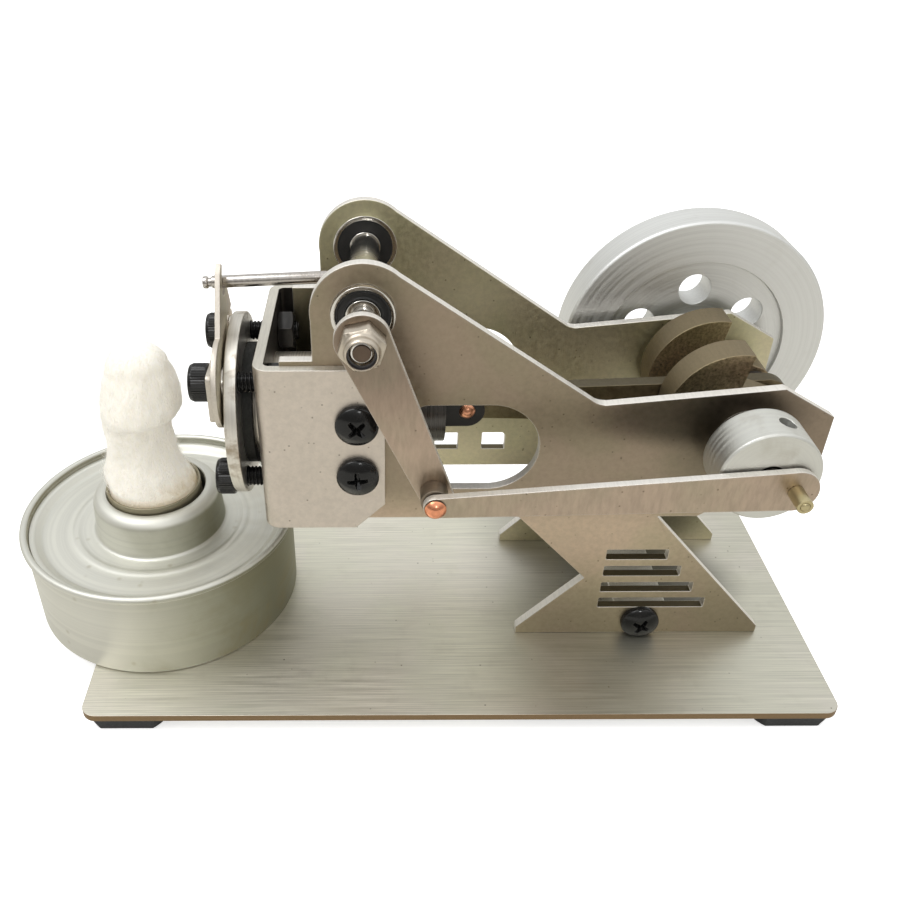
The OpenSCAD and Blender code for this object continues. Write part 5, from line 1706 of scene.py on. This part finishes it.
    def strands(self) -> bpy.types.Mesh:
        """Makes fine fibres that lie on the wick and stand a little off it.

        Returns:
            The fibres, round the lamp's middle.
        """
        dice = random.Random(self.seed)
        mesh = bmesh.new()
        for _ in range(self.fibres):
            turn, height = dice.uniform(0, math.tau), dice.uniform(self.fibre_base, self.top - 2.0)
            drift = dice.uniform(-self.fibre_drift, self.fibre_drift)
            climb = dice.uniform(-self.fibre_climb, self.fibre_climb)
            lift = dice.uniform(*self.fibre_lift) * dice.random()
            thick = dice.uniform(*self.fibre_thick)
            last: list[bmesh.types.BMVert] = []
            for step in range(self.fibre_steps + 1):
                share = step / self.fibre_steps
                level = min(self.top - 0.8, max(self.fibre_base - 0.1, height + climb * share))
                here = self.surface(turn + drift * share, level)
                out = Vector((here.x, here.y, 0.0)).normalized()
                curl = math.sin(share * math.pi)
                here += out * (0.05 + lift * curl) + Vector((0, 0, lift * 0.4 * curl))
                side = out.cross(Vector((0, 0, 1)))
                now = [mesh.verts.new(here + aside * thick) for aside in (out, side, -side)]
                if last:
                    for i in range(3):
                        mesh.faces.new((last[i], last[(i + 1) % 3], now[(i + 1) % 3], now[i]))
                last = now
        return to_data(mesh)


@dataclass(frozen=True)
class Studio:
    """Camera at the photograph's angle, a pale floor and soft light. Its lamps are placed in metres."""

    eye: Triple = (-8.67, -156.14, 148.23)
    yaw: float = -0.11567
    pitch: float = 34.776
    roll: float = -0.30999
    lens: float = 36.518
    sensor: float = 36.0
    clip: tuple[float, float] = (0.01, 20.0)
    shift: tuple[float, float] = (0.0787, 0.0115)
    floor_size: float = 4.0
    desk: Colour = (0.71, 0.69, 0.635)
    seen_desk: Colour = (0.9, 0.9, 0.9)
    lift: float = 0.55
    sky_low: Colour = (0.61, 0.605, 0.575)
    sky_high: Colour = (1.04, 1.05, 1.05)
    sky_left: Colour = (0.93, 0.93, 0.93)
    sky_right: Colour = (1.1, 1.1, 1.1)
    sky_front: Colour = (0.22, 0.2, 0.18)
    front_share: float = 0.8
    lamps: tuple[tuple[str, Triple, Triple, float, float], ...] = (
        ("key", (-0.45, -0.15, 0.9), (0.0, 0.0, 0.04), 0.6, 3.8),
        ("glint", (0.12, -0.75, 0.55), (0.0, 0.0, 0.05), 0.1, 0.7))

    def build(self) -> None:
        """Sets up the camera, the floor, the sky and the lamps."""
        self.camera()
        self.floor()
        self.sky()
        for lamp in self.lamps:
            self.lamp(*lamp)
        bpy.context.scene.view_settings.view_transform = "Standard"

    def camera(self) -> None:
        """Places the camera."""
        yaw, pitch, roll = (math.radians(a) for a in (self.yaw, self.pitch, self.roll))
        ahead = Vector((math.sin(yaw) * math.cos(pitch), math.cos(yaw) * math.cos(pitch), -math.sin(pitch)))
        right = Vector((math.cos(yaw), -math.sin(yaw), 0.0))
        up = right.cross(ahead)
        side = right * math.cos(roll) + up * math.sin(roll)
        top = up * math.cos(roll) - right * math.sin(roll)
        data = bpy.data.cameras.new("camera")
        data.lens, data.sensor_width, data.sensor_fit = self.lens, self.sensor, "HORIZONTAL"
        data.shift_x, data.shift_y = self.shift
        data.clip_start, data.clip_end = self.clip
        thing = add_object("camera", data)
        turn = Matrix((side, top, -ahead)).transposed().to_4x4()
        thing.matrix_world = Matrix.Translation(Vector(self.eye) * MM) @ turn
        bpy.context.scene.camera = thing

    def floor(self) -> None:
        """Lays the pale floor."""
        mesh = bmesh.new()
        half = self.floor_size / 2
        mesh.faces.new([mesh.verts.new((x * half, y * half, 0.0)) for x, y in ((-1, -1), (1, -1), (1, 1), (-1, 1))])
        piece = add_object("floor", to_data(mesh, "floor"))
        made = bpy.data.materials.new("floor_white")
        made.use_nodes = True
        graph = Graph(made.node_tree)
        seen = graph.add("LightPath").outputs["Is Camera Ray"]
        tone = graph.mix(seen, self.desk, self.seen_desk)
        shader = graph.add("BsdfPrincipled", {"Base Color": tone, "Roughness": 0.9, "Emission Color": (1, 1, 1, 1),
                                              "Emission Strength": graph.times(seen, self.lift)})
        graph.add("OutputMaterial", {0: shader.outputs[0]})
        piece.data.materials.append(made)

    def sky(self) -> None:
        """Makes a soft sky, brighter above and to the right, darker low in front, and white to the camera."""
        world = bpy.data.worlds.new("studio")
        bpy.context.scene.world = world
        world.use_nodes = True
        graph = Graph(world.node_tree)
        x, y, z = graph.parts(graph.coords("Generated"))
        front = graph.times(graph.span(y, 0.1, -0.7), graph.span(z, 0.75, 0.2))
        upward = graph.mix(graph.span(z, 0.0, 0.9), self.sky_low, self.sky_high)
        shaded = graph.mix(graph.span(x, -0.9, 0.9), self.sky_left, self.sky_right)
        tint = graph.over(graph.vector("MULTIPLY", upward, shaded), front, self.front_share, self.sky_front)
        seen = graph.mix(graph.add("LightPath").outputs["Is Camera Ray"], tint, (1.0, 1.0, 1.0))
        light = graph.add("Background", {0: seen, 1: 1.0})
        graph.add("OutputWorld", {0: light.outputs[0]})

    def lamp(self, name: str, place: Triple, aim: Triple, size: float, power: float) -> None:
        """Adds a soft area light that points at a place.

        Args:
            name: Its name.
            place: Where it stands.
            aim: What it points at.
            size: Its side.
            power: Its power in watts.
        """
        data = bpy.data.lights.new(name, "AREA")
        data.size, data.energy = size, power
        thing = add_object(name, data)
        thing.location = place
        thing.rotation_mode = "QUATERNION"
        thing.rotation_quaternion = (Vector(aim) - Vector(place)).to_track_quat("-Z", "Y")


def main() -> None:
    """Builds the engine, its lamp and the studio."""
    logging.basicConfig(level=logging.INFO, format="%(message)s")
    Studio().build()
    shop = Workshop(frame)
    for part in (Chassis(), CylinderHead(), Rocker(), LinkDrive(), Crank(), PistonTrain(), SpiritLamp()):
        part.build(shop)
        LOG.info("%s done", type(part).__name__)


if __name__ == "__main__":
    main()
